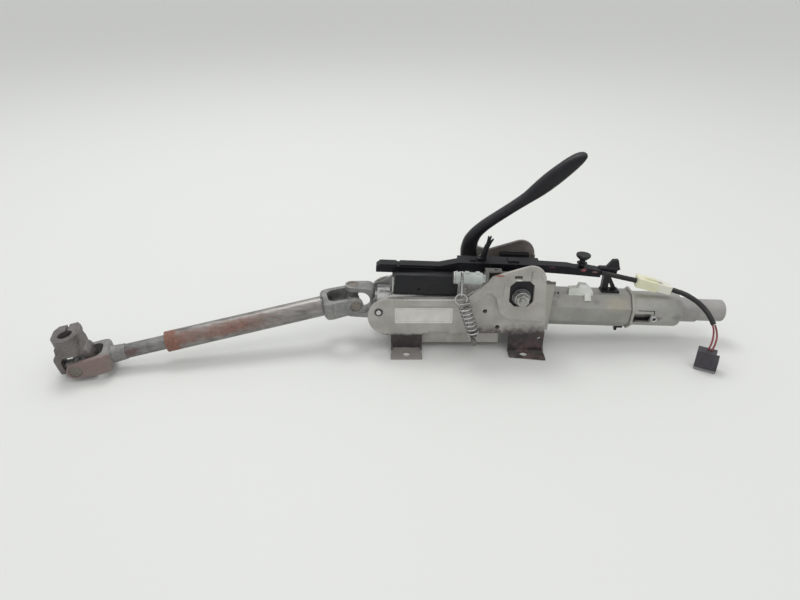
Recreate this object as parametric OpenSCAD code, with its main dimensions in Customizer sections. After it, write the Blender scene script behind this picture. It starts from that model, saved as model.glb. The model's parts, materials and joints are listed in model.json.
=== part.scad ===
// Tilt and reach adjustable steering column with its intermediate shaft,
// lying on its mounting feet. Millimetres. The origin is the centre of the
// four mounting holes on the mounting plane, +X points to the steering wheel.

/* [Mounting bracket] */
// Distance between the front and the rear mounting holes
hole_span = 150; // [146:1:156]
// Distance between the near and the far mounting holes
hole_gap = 88; // [86:1:92]
// Diameter of a mounting hole
hole_d = 10.5; // [8:0.5:11]
// Sheet thickness of the bracket
sheet = 2.5; // [2:0.5:3]
// Half width over the channel walls
channel_y = 33; // [32.6:0.2:35]
// Radius of the rounded front end of the channel walls
nose_r = 26; // [24:0.5:28]
// Top edge of the channel walls
channel_top = 75.5; // [72:0.5:78]
// Height of the ledge between the tray and the channel walls
ledge_z = 26; // [25:0.5:28]
// Half width over the tray below the ledge
tray_y = 26; // [24:0.5:28]
// Clear height of the tray above the mounting plane
tray_z = 8; // [6:0.5:10]
// Width of a mounting foot
foot_w = 40; // [36:1:44]
// Reach of a foot flange beyond the channel wall
foot_reach = 21; // [20:0.5:24]

/* [Rear cheeks] */
// Half width over the rear cheeks
cheek_y = 40; // [39.5:0.5:43]
// Thickness of a rear cheek
cheek_t = 3; // [2.5:0.5:3.5]
// Top of a rear cheek
cheek_top = 124; // [120:1:128]
// Radius of the rounded top corner of a rear cheek
cheek_r = 18.3; // [16:0.5:20]
// Width of the clamp opening
opening_w = 30.5; // [28:0.5:33]
// Depth of the teeth beside the clamp opening
tooth_h = 1.2; // [0.8:0.1:1.6]
// Diameter of the locating holes
locate_d = 6; // [4:0.5:8]

/* [Column axis] */
// Distance of the tilt pivot in front of the mounting centre
pivot_x = 110; // [106:1:114]
// Height of the tilt pivot
pivot_z = 57; // [56:0.5:60]
// Rest angle of the column below level
rest_tilt = 2.1; // [1.8:0.1:2.4]
// Tilt travel upward from rest
tilt_travel = 3.2; // [2:0.2:3.2]
// Reach travel each way
reach_travel = 25; // [15:1:28]
// Diameter of a pivot pin
pivot_d = 8; // [7:0.5:9]
// Wall of a pivot bush
bush_t = 2; // [1.5:0.5:3]
// Radial clearance of running fits
run_gap = 0.05; // [0.03:0.01:0.08]

/* [Guide and jacket] */
// Jacket tube across flats
jacket_af = 46.4; // [45:0.2:47.4]
// Wall of the jacket tube
jacket_wall = 2.2; // [1.8:0.2:2.6]
// Front end of the jacket tube, from the pivot
jacket_start = 62; // [54:1:66]
// Rear end of the jacket tube, from the pivot
jacket_end = 322; // [318:1:326]
// Thickness of the guide liners
liner_t = 1.5; // [1.2:0.1:1.8]
// Gap between liner and jacket
liner_gap = 0.1; // [0.08:0.02:0.2]
// Wall of the guide tube
guide_wall = 2.5; // [2:0.5:2.5]
// Rear end of the guide tube, from the pivot
guide_end = 216; // [210:1:220]
// Front face of the bulkhead, from the pivot
bulkhead_x = 15.5; // [14:0.5:18]
// Top edge of the bulkhead, above the axis
bulkhead_top = 44.5; // [40:0.5:45]
// Half width of the guide rail
rail_y = 15; // [13:0.5:16]
// Height of the guide rail above the axis
rail_top = 40; // [38:0.5:42]
// Rear end of the guide rail, from the pivot
rail_end = 230; // [226:1:240]

/* [Lock housing] */
// Length of the lock housing
lock_len = 65; // [62:0.5:68]
// Lock housing across flats
lock_af = 43.4; // [42.6:0.2:45]
// Thickness of the flange between jacket and lock housing
flange_t = 3; // [2:0.5:4]
// Width across the flange
flange_af = 52; // [50:1:56]

/* [Clamp and lever] */
// Diameter of the clamp bolt
bolt_d = 8; // [7:0.5:9]
// Clamp bolt, from the pivot along the axis
bolt_x = 175; // [172:1:178]
// Clamp bolt, above the axis
bolt_z = 31; // [30.5:0.5:32]
// Diameter of the large washer
washer_d = 23; // [20:0.5:24]
// Across flats of the clamp nut
nut_af = 16; // [14:0.5:17]
// Thickness of the lever plate
lever_t = 4; // [3:0.5:4]
// Width of the lever grip across the column
grip_w = 18; // [15:0.5:19]

/* [Universal joints] */
// Diameter of a bearing cup
cup_d = 15; // [14:0.5:16]
// Diameter of a cross trunnion
trunnion_d = 10; // [9:0.5:11]
// Distance of a yoke arm's outer face from the joint centre
arm_out = 21; // [20.5:0.25:22]
// Thickness of a yoke arm
arm_t = 6; // [5:0.25:6]
// Radius of a yoke arm's end
boss_r = 11.5; // [10.5:0.25:11.75]
// Upper joint centre, in front of the pivot
joint_x = 34.4; // [33:0.2:36]
// Folding angle of the lower joint
fold = 88; // [80:1:90]

/* [Shafts] */
// Outer diameter of the intermediate tube
tube_d = 26; // [25:0.5:28]
// Bore of the intermediate tube
tube_bore = 20.5; // [20:0.25:21.5]
// Length of the intermediate tube
tube_len = 197; // [185:1:200]
// Diameter of the lower shaft
shaft_d = 18; // [17:0.25:18.5]
// Length of the lower shaft inside the tube
shaft_in = 110; // [90:1:130]
// Diameter of the lower spindle
spindle_d = 17; // [16:0.5:17]
// Outer diameter of the upper spindle
upper_d = 25; // [24:0.5:25]
// Diameter of the steering wheel end
wheel_d = 28.6; // [27:0.2:30]
// Length of the steering wheel end
wheel_len = 36; // [30:1:40]
// Bore of the pinch clamp
pinch_d = 17; // [16:0.25:17.5]
// Length of the pinch clamp
pinch_len = 23.5; // [21:0.5:26]

/* [Spring and sleeve] */
// Outside diameter of the balance spring
spring_d = 16; // [14:0.2:16.4]
// Wire diameter of the balance spring
wire_d = 2.1; // [1.7:0.1:2.3]
// Diameter of the hanger sleeve
sleeve_d = 14.4; // [13.6:0.2:15.2]
// Diameter of the hanger rod
rod_d = 6; // [5:0.5:6.5]

/* [Duct and harness] */
// Reach of the cable duct to the near side of the axis
duct_y = 12; // [10:0.5:13]
// Diameter of the sheathed harness
harness_d = 6.5; // [5.5:0.25:7]
// Diameter of a single wire
lead_d = 2.2; // [1.8:0.1:2.6]
// Width of the plug
plug_w = 25.5; // [22:0.5:27]

/* [Hidden] */
$fn = 48;

// Colours
paint_grey = [0.62, 0.61, 0.58];
steel = [0.55, 0.54, 0.53];
bright = [0.78, 0.79, 0.8];
black = [0.09, 0.09, 0.1];
rust = [0.5, 0.33, 0.25];
ivory = [0.9, 0.89, 0.72];
milk = [0.8, 0.82, 0.76];
sage = [0.68, 0.72, 0.69];

eps = 0.02;
unit_x = [cos(rest_tilt), 0, -sin(rest_tilt)];
unit_z = [sin(rest_tilt), 0, cos(rest_tilt)];
pivot = [-pivot_x, 0, pivot_z];

// Bracket places
front_hole_x = -hole_span / 2;
nose_x = 12 - pivot_x;
nose_z = channel_top - nose_r;
channel_in = channel_y - sheet;
channel_end = 44;
foot_edge = channel_y + foot_reach;
band_z = channel_top - 11;
band_t = 0.8;

// Rear cheek places
cheek_in = cheek_y - cheek_t;
pad_t = cheek_t;
corner_x = 75.5;
corner_z = cheek_top - cheek_r;
cheek_left = 1.5;
cheek_right = corner_x + cheek_r;
cheek_low = ledge_z + 2;
bolt_world = pivot + bolt_x * unit_x + bolt_z * unit_z;
opening_low = bolt_world[2] - washer_d / 2 - 1;
opening_high = bolt_world[2] + bolt_x * sin(tilt_travel) + washer_d / 2 + 1.5;

// Guide and jacket places
guide_in = jacket_af + 2 * (liner_t + liner_gap);
guide_af = guide_in + 2 * guide_wall;
plate_in = guide_af / 2;
plate_t = 2.5;
plate_y = plate_in + plate_t;
guide_start = bulkhead_x + plate_t;
slot_half = rail_y + 3;
rail_start = bolt_x - reach_travel - 12;
rail_t = 2.2;
rail_low = jacket_af / 2 + 5.4;
clip_x = rail_end + 11;
lock_start = jacket_end + flange_t;
lock_end = lock_start + lock_len;
lock_bore = 37;

// Bearings: bore, outside diameter, width, ball circle and ball
front_bearing = [spindle_d, 35, 10, 13, 2.6];
upper_bearing = [upper_d, lock_bore, 7, 15.5, 2];
ball_gap = 0.05;
front_bearing_x = 1;
upper_bearing_x = lock_end - 16;

// Joint frames
upper_joint = pivot - joint_x * unit_x;
lower_joint = [-474.5, -82, 15.4];
shaft_run = norm(lower_joint - upper_joint);
shaft_dir = (lower_joint - upper_joint) / shaft_run;
side_raw = cross(unit_z, shaft_dir);
side_dir = side_raw / norm(side_raw);
lift_dir = cross(shaft_dir, side_dir);
pinch_dir = cos(fold) * shaft_dir + sin(fold) * lift_dir;
pinch_arm_dir = cross(side_dir, pinch_dir);
arm_in = arm_out - arm_t;
cup_sink = 0.6;
cup_floor = 1.5;
cup_len = arm_t;
trunnion_half = arm_out - cup_sink - cup_floor - 0.3;
spindle_throat = 22.5;
shaft_throat = 32;
pinch_throat = 17.5;
yoke_base = 6;
heavy_base = 9;
hub_d = 24;
spindle_base_x = spindle_throat + yoke_base - joint_x;
tube_start = shaft_throat + heavy_base;
fork_start = shaft_run - shaft_throat - heavy_base;
socket_len = 14;
flat_cut = 7.5;
fit_gap = 0.15;
spindle_end = 275;
upper_start = spindle_end - 85;
collar_start = lock_end + 0.6;
collar_len = 23;
collar_d = 32;

// Spring places: the sleeve hangs on a rod beside the swing plate, above the near cheek
hanger_y = -cheek_y;
hanger_z = 55.5;
sleeve_x0 = 91;
sleeve_x1 = 126;
ear_x = 128;
ear_t = 3;
groove_x = 99;
groove_d = 10;
groove_w = 3.2;
spring_y = -cheek_y - spring_d / 2 - 0.6;
peg = [9, 26];
peg_d = 5;
peg_ring_r = peg_d / 2 + wire_d / 2 + 0.35;
hanger = pivot + groove_x * unit_x + hanger_z * unit_z + [0, hanger_y, 0];
eye_r = 7.2;
eye = [hanger[0], spring_y, hanger[2] - 24.8];
coil_r = (spring_d - wire_d) / 2;
coil_turns = 7.5;
coil_low = [peg[0], spring_y, peg[1] + 8];
coil_high = [eye[0] + 4, spring_y, eye[2] - 8];
coil_axis = coil_high - coil_low;

// Duct, harness and plug places
duct_top = 62.5;
duct_end = 278;
strip_top = 58;
support_x = 283;
support_w = 25;
connector_gap = 0.1;
harness_route = [[duct_end + 1, -4.5, 51.6], [287, -4.5, 50], [296, -4.4, 48.15], [305, -4.3, 46.3],
  [314, -4.2, 44.45], [320, -4.1, 43.2], [325, -4, 42.2], [371, -8, 32.8], [378, -11, 32],
  [384.5, -17, 32], [390, -25.5, 31.5], [396, -35, 29.5],
  [401.5, -44, 25.5], [405.5, -52, 20.5], [408.9, -60, 13.5]];
lead_from = [[407.5, -60.7, 12.8], [410.4, -60.4, 13.1]];
lead_a_route = [lead_from[0], [408, -65, 8.6], [407.5, -69.5, 1.5], [406.2, -72.4, -6.5],
  [404.5, -73, -15.4]];
lead_b_route = [lead_from[1], [411.4, -65.4, 8.2], [411.6, -70.4, 1], [410, -73.8, -7],
  [407.8, -75, -15.4]];
plug_at = [-pivot_x + 405, -74, 0.3];
plug_h = 26;
plug_d = 14;
plug_turn = -30;

// Lever places in the plane of the lever, from the mounting origin: x, z and half height
grip_y = 54;
grip_path = [[10, 97, 12], [9.6, 106, 11.5], [10.8, 116, 10], [15, 124.5, 8.6], [19.5, 130.5, 7.6],
  [28, 138.7, 6.9], [38, 146.4, 6.6], [52, 156.4, 6.4], [66, 166.3, 6.5], [80, 176.5, 7.3],
  [90, 184.6, 9], [99, 192.4, 10.2], [109, 201.2, 10.7], [119.5, 210.3, 10.4], [131, 220.3, 9.4],
  [140, 227.6, 7.4], [145.5, 231.6, 4.6], [148, 233.4, 2.2]];

// Swept tubes and lofted bars

function unit(v) = v / norm(v);

function tangent(p, i) =
  let (a = max(i - 1, 0), b = min(i + 1, len(p) - 1)) unit(p[b] - p[a]);

function carried(t, u) = unit(u - (u * t) * t);

function frames(p, u, i = 0) =
  let (v = carried(tangent(p, i), u))
  i == len(p) - 1 ? [v] : concat([v], frames(p, v, i + 1));

// Round tube of radius r along the points p, with n sides
module sweep(p, r, n, start_up) {
  ups = frames(p, start_up);
  points = [for (i = [0:len(p) - 1])
    let (t = tangent(p, i), u = ups[i], w = cross(t, u))
    for (k = [0:n - 1]) p[i] + r * (cos(360 * k / n) * u + sin(360 * k / n) * w)];
  sides = [for (i = [0:len(p) - 2]) for (k = [0:n - 1])
    let (a = i * n + k, b = i * n + (k + 1) % n)
    each [[a, a + n, b], [b, a + n, b + n]]];
  last = (len(p) - 1) * n;
  caps = [[for (k = [0:n - 1]) k], [for (k = [n - 1:-1:0]) last + k]];
  polyhedron(points, concat(sides, caps), convexity = 8);
}

// Bar lofted through ellipses: path rows hold x, z and the half height
module loft(path, half_w, n) {
  line = [for (q = path) [q[0], 0, q[1]]];
  points = [for (i = [0:len(path) - 1])
    let (t = tangent(line, i), u = [-t[2], 0, t[0]])
    for (k = [0:n - 1])
      line[i] + path[i][2] * cos(360 * k / n) * u
        + [0, (i == len(path) - 1 ? 0.7 : 1) * half_w * sin(360 * k / n), 0]];
  sides = [for (i = [0:len(path) - 2]) for (k = [0:n - 1])
    let (a = i * n + k, b = i * n + (k + 1) % n)
    each [[a, b, a + n], [b, b + n, a + n]]];
  last = (len(path) - 1) * n;
  caps = [[for (k = [n - 1:-1:0]) k], [for (k = [0:n - 1]) last + k]];
  polyhedron(points, concat(sides, caps), convexity = 8);
}

// Placement helpers

// Puts children in the column's frame: X along the axis from the pivot
module on_column() {
  translate(pivot) rotate([0, rest_tilt, 0]) children();
}

// Puts children at a point with X and Y along two given directions
module on_frame(at, x_dir, y_dir) {
  z_dir = cross(x_dir, y_dir);
  multmatrix([
    [x_dir[0], y_dir[0], z_dir[0], at[0]],
    [x_dir[1], y_dir[1], z_dir[1], at[1]],
    [x_dir[2], y_dir[2], z_dir[2], at[2]]]) children();
}

// Extrudes an outline in X and Z through the thickness from y0 to y1
module plate_xz(y0, y1) {
  translate([0, y1, 0]) rotate([90, 0, 0]) linear_extrude(y1 - y0) children();
}

// Extrudes a section in Y and Z along X from x0 to x1
module bar_x(x0, x1) {
  translate([x0, 0, 0]) rotate([90, 0, 90]) linear_extrude(x1 - x0) children();
}

// Cylinder along X
module rod_x(x0, x1, d) {
  translate([x0, 0, 0]) rotate([0, 90, 0]) cylinder(h = x1 - x0, d = d);
}

// Cylinder along Y
module rod_y(y0, y1, d) {
  translate([0, y0, 0]) rotate([-90, 0, 0]) cylinder(h = y1 - y0, d = d);
}

// Ring along X
module ring_x(x0, x1, d, bore) {
  difference() {
    rod_x(x0, x1, d);
    rod_x(x0 - 1, x1 + 1, bore);
  }
}

module both_sides() {
  children();
  mirror([0, 1, 0]) children();
}

// Regular octagon with flats on the axes
module octagon(af) {
  rotate(22.5) circle(r = af / 2 / cos(22.5), $fn = 8);
}

// Mounting bracket

module channel_wall_outline() {
  difference() {
    union() {
      translate([nose_x, nose_z]) circle(r = nose_r);
      translate([nose_x, ledge_z]) square([channel_end - nose_x, channel_top - ledge_z]);
      translate([front_hole_x - foot_w / 2, 0]) square([foot_w, ledge_z + sheet]);
    }
    translate([-pivot_x, pivot_z]) circle(d = pivot_d);
    for (p = locate_points) translate(p) circle(d = locate_d);
    translate([-47, ledge_z - 1]) square([27, 5]);
  }
}

module foot_flange(x0, x1, inner, edge0, edge1) {
  linear_extrude(sheet) difference() {
    polygon([[x0, -inner], [x0, -edge0], [x1, -edge1], [x1, -inner]]);
    translate([sign(x0 + x1) * hole_span / 2, -hole_gap / 2]) circle(d = hole_d);
  }
}

module gusset(x, depth) {
  translate([x, 0, 0]) rotate([90, 0, 90]) linear_extrude(2)
    polygon([[-channel_y, sheet], [-channel_y - depth, sheet], [-channel_y, sheet + depth]]);
}

module bracket_channel() {
  color(paint_grey) {
    both_sides() {
      plate_xz(-channel_y, -channel_in) channel_wall_outline();
      plate_xz(-channel_y - band_t, -channel_y)
        translate([nose_x + 10, band_z]) square([cheek_left - nose_x - 16, channel_top - band_z]);
      foot_flange(front_hole_x - foot_w / 2, front_hole_x + foot_w / 2, channel_in, foot_edge, foot_edge);
      gusset(front_hole_x - foot_w / 2, 9);
      gusset(front_hole_x + foot_w / 2 - 2, 9);
    }
    bar_x(front_hole_x + foot_w / 2 - 3, channel_end) difference() {
      union() {
        translate([-tray_y, tray_z]) square([2 * tray_y, ledge_z + sheet - tray_z]);
        translate([-channel_in, ledge_z]) square([2 * channel_in, sheet]);
      }
      translate([-tray_y + sheet, tray_z + sheet])
        square([2 * (tray_y - sheet), ledge_z + sheet]);
    }
  }
}

// Rear cheeks

locate_points = [[23, 60], [40, 37]];

module cheek_outline() {
  polygon([[cheek_left + 10.5, cheek_low], [cheek_left, channel_top + 5],
    [cheek_left + 27.5, cheek_top - 14], [corner_x - 5, cheek_top - 0.7],
    [corner_x, corner_z], [cheek_right, corner_z], [cheek_right + 5, 50],
    [cheek_right + 7, cheek_low]]);
  translate([corner_x, corner_z]) circle(r = cheek_r);
}

// The part of the cheek that steps in to lie on the channel wall
module pad_outline() {
  polygon([[-20, 48], [-5, 62], [6, 72], [24, 88.3], [30, 88], [35.5, 80], [40.5, 61.4], [47, 54],
    [54, 51.3], [110, 47], [120, 47], [120, -5], [-20, -5]]);
}

module joggle_outline() {
  difference() {
    translate([2.6, 2.6]) pad_outline();
    pad_outline();
  }
}

module rear_foot_outline() {
  translate([hole_span / 2 - 19, 0]) square([cheek_right + 26 - hole_span / 2, cheek_low + 2]);
}

module clamp_opening() {
  half = opening_w / 2;
  cut = 7;
  teeth = 9;
  step = (opening_high - opening_low - 2 * cut) / teeth;
  translate([bolt_world[0], 0]) polygon(concat(
    [[-half + cut, opening_low], [half - cut, opening_low]],
    [for (i = [0:teeth - 1]) each [
      [half, opening_low + cut + i * step],
      [half - tooth_h, opening_low + cut + (i + 0.5) * step]]],
    [[half, opening_high - cut], [half - cut, opening_high], [-half + cut, opening_high],
      [-half, opening_high - cut], [-half, opening_low + cut]]));
}

module cheek_windows() {
  translate([bolt_world[0] - 11, opening_high + 2]) square([10, 5]);
  for (i = [0:4]) translate([bolt_world[0] + 8.5, opening_high + 1 + 2.6 * i]) square([2.2, 1.4]);
}

// Raised border along the sloping top edges and the top corner
module cheek_border() {
  polygon([[cheek_left, channel_top + 5], [cheek_left + 27.5, cheek_top - 14],
    [cheek_left + 30, cheek_top - 18.5], [cheek_left + 3, channel_top + 0.5]]);
  polygon([[cheek_left + 27.5, cheek_top - 14], [corner_x - 5, cheek_top - 0.7],
    [corner_x - 4, cheek_top - 5], [cheek_left + 29.5, cheek_top - 18]]);
  intersection() {
    translate([corner_x, corner_z]) difference() {
      circle(r = cheek_r);
      circle(r = cheek_r - 4);
    }
    translate([corner_x - 5, corner_z]) square(cheek_r + 6);
  }
}

module rear_cheek(windows) {
  plate_xz(-cheek_y, -cheek_in) difference() {
    cheek_outline();
    pad_outline();
    clamp_opening();
    if (windows) cheek_windows();
  }
  plate_xz(-cheek_y - 1, -cheek_y) difference() {
    cheek_border();
    pad_outline();
  }
  plate_xz(-cheek_y, -channel_y) intersection() {
    cheek_outline();
    joggle_outline();
  }
  plate_xz(-channel_y - pad_t, -channel_y) difference() {
    intersection() {
      union() {
        cheek_outline();
        rear_foot_outline();
      }
      pad_outline();
    }
    for (p = locate_points) translate(p) circle(d = locate_d);
    translate([cheek_right + 1, 20]) circle(d = 5);
  }
  plate_xz(-cheek_y - 0.8, -cheek_y)
    translate([bolt_world[0] - opening_w / 2 - 7, opening_low + 4]) square([2.6, 32]);
  plate_xz(-cheek_y, -channel_y) polygon([[cheek_right - 2.5, corner_z], [cheek_right, corner_z],
    [cheek_right + 5, 50], [cheek_right + 2.5, 50]]);
  foot_flange(hole_span / 2 - 19, cheek_right + 7, channel_y, foot_edge - 4.5, foot_edge + 2.5);
  gusset(cheek_right + 5, 9);
}

module cheek_near() {
  head = 2;
  color(paint_grey) {
    rear_cheek(true);
    plate_xz(-channel_y - pad_t, -channel_y) translate(peg) circle(r = 6);
    translate([peg[0], 0, peg[1]]) {
      rod_y(spring_y - 5.5, -channel_y, peg_d);
      rod_y(spring_y - 5.5 - head, spring_y - 5.5, peg_d + 3);
    }
  }
}

module cheek_far() {
  color(paint_grey) mirror([0, 1, 0]) rear_cheek(false);
}

// Tilt pivot

module pivot_pins() {
  color(bright) both_sides() translate([-pivot_x, 0, pivot_z]) difference() {
    union() {
      rod_y(-channel_y - 0.4, -plate_in + 0.4, pivot_d);
      rod_y(-channel_y - 1.6, -channel_y, pivot_d + 2.4);
    }
    rod_y(-channel_y - 3, -plate_in + 3, pivot_d - 3);
  }
}

module pivot_bushes() {
  color(bright) both_sides() on_column() difference() {
    rod_y(-plate_y, -plate_in, pivot_d + 2 * bush_t);
    rod_y(-plate_y - 1, -plate_in + 1, pivot_d + 2 * run_gap);
  }
}

// Swing arm

module swing_outline() {
  difference() {
    union() {
      circle(r = 12);
      polygon([[0, -12], [0, 12], [bulkhead_x + 2, 24], [98, 24], [104, 21], [128, 40], [128, 45],
        [guide_end, 45], [guide_end, -20], [bulkhead_x + 2, -20]]);
    }
    circle(d = pivot_d + 2 * bush_t);
    translate([bolt_x, bolt_z]) circle(d = bolt_d);
  }
}

module swing_plates() {
  tab_y = cheek_in - 0.5;
  ear_out = -hanger_y + 6;
  color(bright) on_column() {
    both_sides() plate_xz(-plate_y, -plate_in) swing_outline();
    bar_x(ear_x, ear_x + ear_t) difference() {
      union() {
        translate([-cheek_in + 1, 40]) square([cheek_in - 1 - plate_in, 24]);
        translate([-ear_out, 53]) square([ear_out - plate_in, 11]);
      }
      translate([hanger_y, hanger_z]) circle(d = rod_d);
    }
    translate([ear_x, -tab_y, 62]) difference() {
      cube([20, tab_y - plate_in, 2]);
      translate([13, 4.5, -1]) cylinder(h = 4, d = 4);
    }
    plate_xz(-plate_y, -plate_in) translate([ear_x, 44]) square([20, 20]);
  }
}

module guide_tube() {
  color(paint_grey) on_column() difference() {
    bar_x(guide_start, guide_end) octagon(guide_af);
    bar_x(guide_start - 1, guide_end + 1) octagon(guide_in);
    translate([rail_start - reach_travel - 2, -slot_half, 0])
      cube([guide_end, 2 * slot_half, guide_af]);
  }
}

module front_bulkhead() {
  color(bright) on_column() difference() {
    bar_x(bulkhead_x, bulkhead_x + plate_t) union() {
      octagon(guide_af);
      translate([-plate_in + 2.5, 0]) square([2 * plate_in - 5, bulkhead_top]);
    }
    rod_x(bulkhead_x - 1, bulkhead_x + plate_t + 1, front_bearing[1]);
    translate([bulkhead_x - 1, 0, bulkhead_top - 11]) rod_x(0, plate_t + 2, 8);
  }
}

module bearing_cup() {
  wall = 2.5;
  lip_x = front_bearing_x - 4;
  color(bright) on_column() {
    ring_x(lip_x, bulkhead_x, front_bearing[1] + 2 * wall, front_bearing[1]);
    ring_x(lip_x, front_bearing_x, front_bearing[1] + wall, front_bearing[1] - 5);
    ring_x(bulkhead_x - 2, bulkhead_x, front_bearing[1] + 16, front_bearing[1] + wall);
  }
}

// Ball bearing rings and balls, from the bearing's row of sizes
module bearing_race(b, x, r_in, r_out) {
  on_column() translate([x, 0, 0]) rotate([0, 90, 0]) rotate_extrude() difference() {
    translate([r_in, 0]) square([r_out - r_in, b[2]]);
    translate([b[3], b[2] / 2]) circle(r = b[4] + ball_gap);
  }
}

module bearing_balls(b, x, count) {
  on_column() translate([x + b[2] / 2, 0, 0]) for (i = [0:count - 1])
    rotate([i * 360 / count, 0, 0]) translate([0, 0, b[3]]) sphere(r = b[4]);
}

module front_bearing_outer() {
  color(steel) bearing_race(front_bearing, front_bearing_x, front_bearing[3] + 1.6, front_bearing[1] / 2);
}

module front_bearing_balls() {
  color(bright) bearing_balls(front_bearing, front_bearing_x, 9);
}

module front_bearing_inner() {
  color(steel) bearing_race(front_bearing, front_bearing_x, front_bearing[0] / 2, front_bearing[3] - 1.6);
}

module upper_bearing_outer() {
  color(steel) bearing_race(upper_bearing, upper_bearing_x, upper_bearing[3] + 1.2, upper_bearing[1] / 2);
}

module upper_bearing_balls() {
  color(bright) bearing_balls(upper_bearing, upper_bearing_x, 12);
}

module upper_bearing_inner() {
  color(steel) bearing_race(upper_bearing, upper_bearing_x, upper_bearing[0] / 2, upper_bearing[3] - 1.2);
}

// Plastic liners at both ends of the guide tube
module guide_liners() {
  color(milk) on_column() for (x = [jacket_start + reach_travel + 3, guide_end - 20]) difference() {
    bar_x(x, x + 18) octagon(guide_in);
    bar_x(x - 1, x + 19) octagon(jacket_af + 2 * liner_gap);
    translate([rail_start - reach_travel - 2, -slot_half, 0])
      cube([guide_end, 2 * slot_half, guide_af]);
  }
}

module side_shield() {
  color(black) on_column() plate_xz(-plate_in, -plate_in + 2) difference() {
    polygon([[guide_start + 0.2, 14], [guide_start + 0.2, 50], [54, 50.5], [65, 41], [97, 41.5], [97, 14]]);
    translate([49, 31]) circle(d = 4);
  }
}

module hanger_rod() {
  color(bright) on_column() translate([0, hanger_y, hanger_z]) {
    rod_x(sleeve_x0 - 2, ear_x + ear_t, rod_d);
    rod_x(sleeve_x0 - 2, sleeve_x0, sleeve_d + 0.6);
  }
}

module spring_sleeve() {
  low = groove_x - groove_w / 2;
  high = groove_x + groove_w / 2;
  color(sage) on_column() translate([0, hanger_y, hanger_z]) difference() {
    union() {
      rod_x(sleeve_x0, ear_x, groove_d);
      rod_x(sleeve_x0, low, sleeve_d);
      rod_x(high, sleeve_x1 - 3, sleeve_d);
      translate([sleeve_x1 - 3, 0, 0]) rotate([0, 90, 0])
        cylinder(h = 3, d1 = sleeve_d, d2 = groove_d);
      for (x = [high + 2, high + 15])
        translate([x, -2.5, 0]) cube([5, 5, sleeve_d / 2 + 1.2]);
    }
    rod_x(sleeve_x0 - 1, ear_x + 1, rod_d);
  }
}

// Wire link round the sleeve's groove, its lower bend through the spring's eye
function link_points() = let (
    r = (groove_d + wire_d) / 2 + 0.15,
    bend = 3.25,
    low = eye[2] + eye_r - wire_d - 0.2 + bend,
    mid = spring_y + 0.25)
  concat(
    [for (a = [-10:-20:-90]) hanger + r * [0, sin(a), cos(a)]],
    [for (a = [180:30:360]) [hanger[0], mid + bend * cos(a), low + bend * sin(a)]],
    [for (a = [126:-18:18]) hanger + r * [0, sin(a), cos(a)]]);

module spring_link() {
  color(bright) sweep(link_points(), wire_d / 2, 8, [1, 0, 0]);
}

// Balance spring: eye, coil and the ring round the anchor peg

function eye_points() = [for (a = [-30:30:270]) eye + eye_r * [cos(a), 0, sin(a)]];

function coil_points() = let (
    steps = 12, total = coil_turns * steps, u = unit(coil_axis),
    v = unit(cross([0, 1, 0], u)), w = cross(u, v))
  [for (i = [0:total]) coil_high - coil_axis * i / total
    + coil_r * (cos(360 * i / steps) * v + sin(360 * i / steps) * w)];

function peg_points() = [for (a = [150:30:450])
  [peg[0] + peg_ring_r * cos(a), spring_y, peg[1] + peg_ring_r * sin(a)]];

module balance_spring() {
  path = concat(eye_points(), coil_points(), peg_points());
  color(bright) sweep(path, wire_d / 2, 6, [0, 1, 0]);
}

// Clamp

module at_bolt() {
  on_column() translate([bolt_x, 0, bolt_z]) children();
}

washer_y = cheek_in - 0.1;
large_t = 2.4;
near_stack = washer_y + 6.3;
nut_h = 6.8;
cam_t = 5.2;
cam_face = washer_y + cam_t;
cam_gap = 0.3;
lever_in = cam_face + cam_gap + cam_t;
head_in = lever_in + lever_t + cam_gap;

module clamp_bolt() {
  color(steel) at_bolt() {
    rod_y(-near_stack - nut_h - 5, head_in, bolt_d);
    rod_y(head_in, head_in + 5, nut_af + 2);
  }
}

module clamp_nut() {
  color(bright) at_bolt() difference() {
    translate([0, -near_stack - nut_h, 0]) rotate([-90, 0, 0])
      cylinder(h = nut_h, d = nut_af / cos(30), $fn = 6);
    rod_y(-near_stack - nut_h - 1, -near_stack + 1, bolt_d);
  }
}

module clamp_washers() {
  color(bright) at_bolt() difference() {
    union() {
      rod_y(-washer_y - large_t, -washer_y, washer_d);
      rod_y(-near_stack, -washer_y - large_t, washer_d - 6);
    }
    rod_y(-near_stack - 1, -washer_y + 1, bolt_d);
  }
}

module friction_pads() {
  pad_w = 38;
  pad_h = 42;
  color(black) both_sides() at_bolt() difference() {
    plate_xz(-washer_y, -plate_y) translate([-pad_w / 2, -pad_h / 2]) square([pad_w, pad_h]);
    rod_y(-washer_y - 1, -plate_y + 1, bolt_d);
  }
}

// Fixed and moving cam: lobes on one face lie in notches of the other
module cam_lobes(y0, y1, turn) {
  for (i = [0:3]) rotate([0, turn + i * 90, 0]) translate([8.5, 0, 0]) rod_y(y0, y1, 4);
}

module fixed_cam() {
  color(steel) at_bolt() difference() {
    rod_y(washer_y, cam_face, washer_d - 1);
    rod_y(washer_y - 1, cam_face + 1, bolt_d);
    cam_lobes(cam_face - 2, cam_face + 1, 45);
  }
}

module moving_cam() {
  color(steel) at_bolt() difference() {
    rod_y(cam_face + cam_gap, lever_in, washer_d + 1);
    rod_y(cam_face - 1, lever_in + 1, bolt_d + 2 * run_gap);
    cam_lobes(cam_face, cam_face + 2, 45);
  }
}

module lever_outline() {
  translate([bolt_world[0], bolt_world[2]]) circle(r = 15);
  polygon([[bolt_world[0] + 3, bolt_world[2] + 14.6], [grip_path[0][0] + 4, grip_path[0][1] + 16],
    [grip_path[0][0] - 3, grip_path[0][1] + 16], [grip_path[0][0] - 6, grip_path[0][1] + 4],
    [grip_path[0][0] - 2, grip_path[0][1] - 7], [bolt_world[0] - 4, bolt_world[2] - 14.4]]);
}

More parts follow.
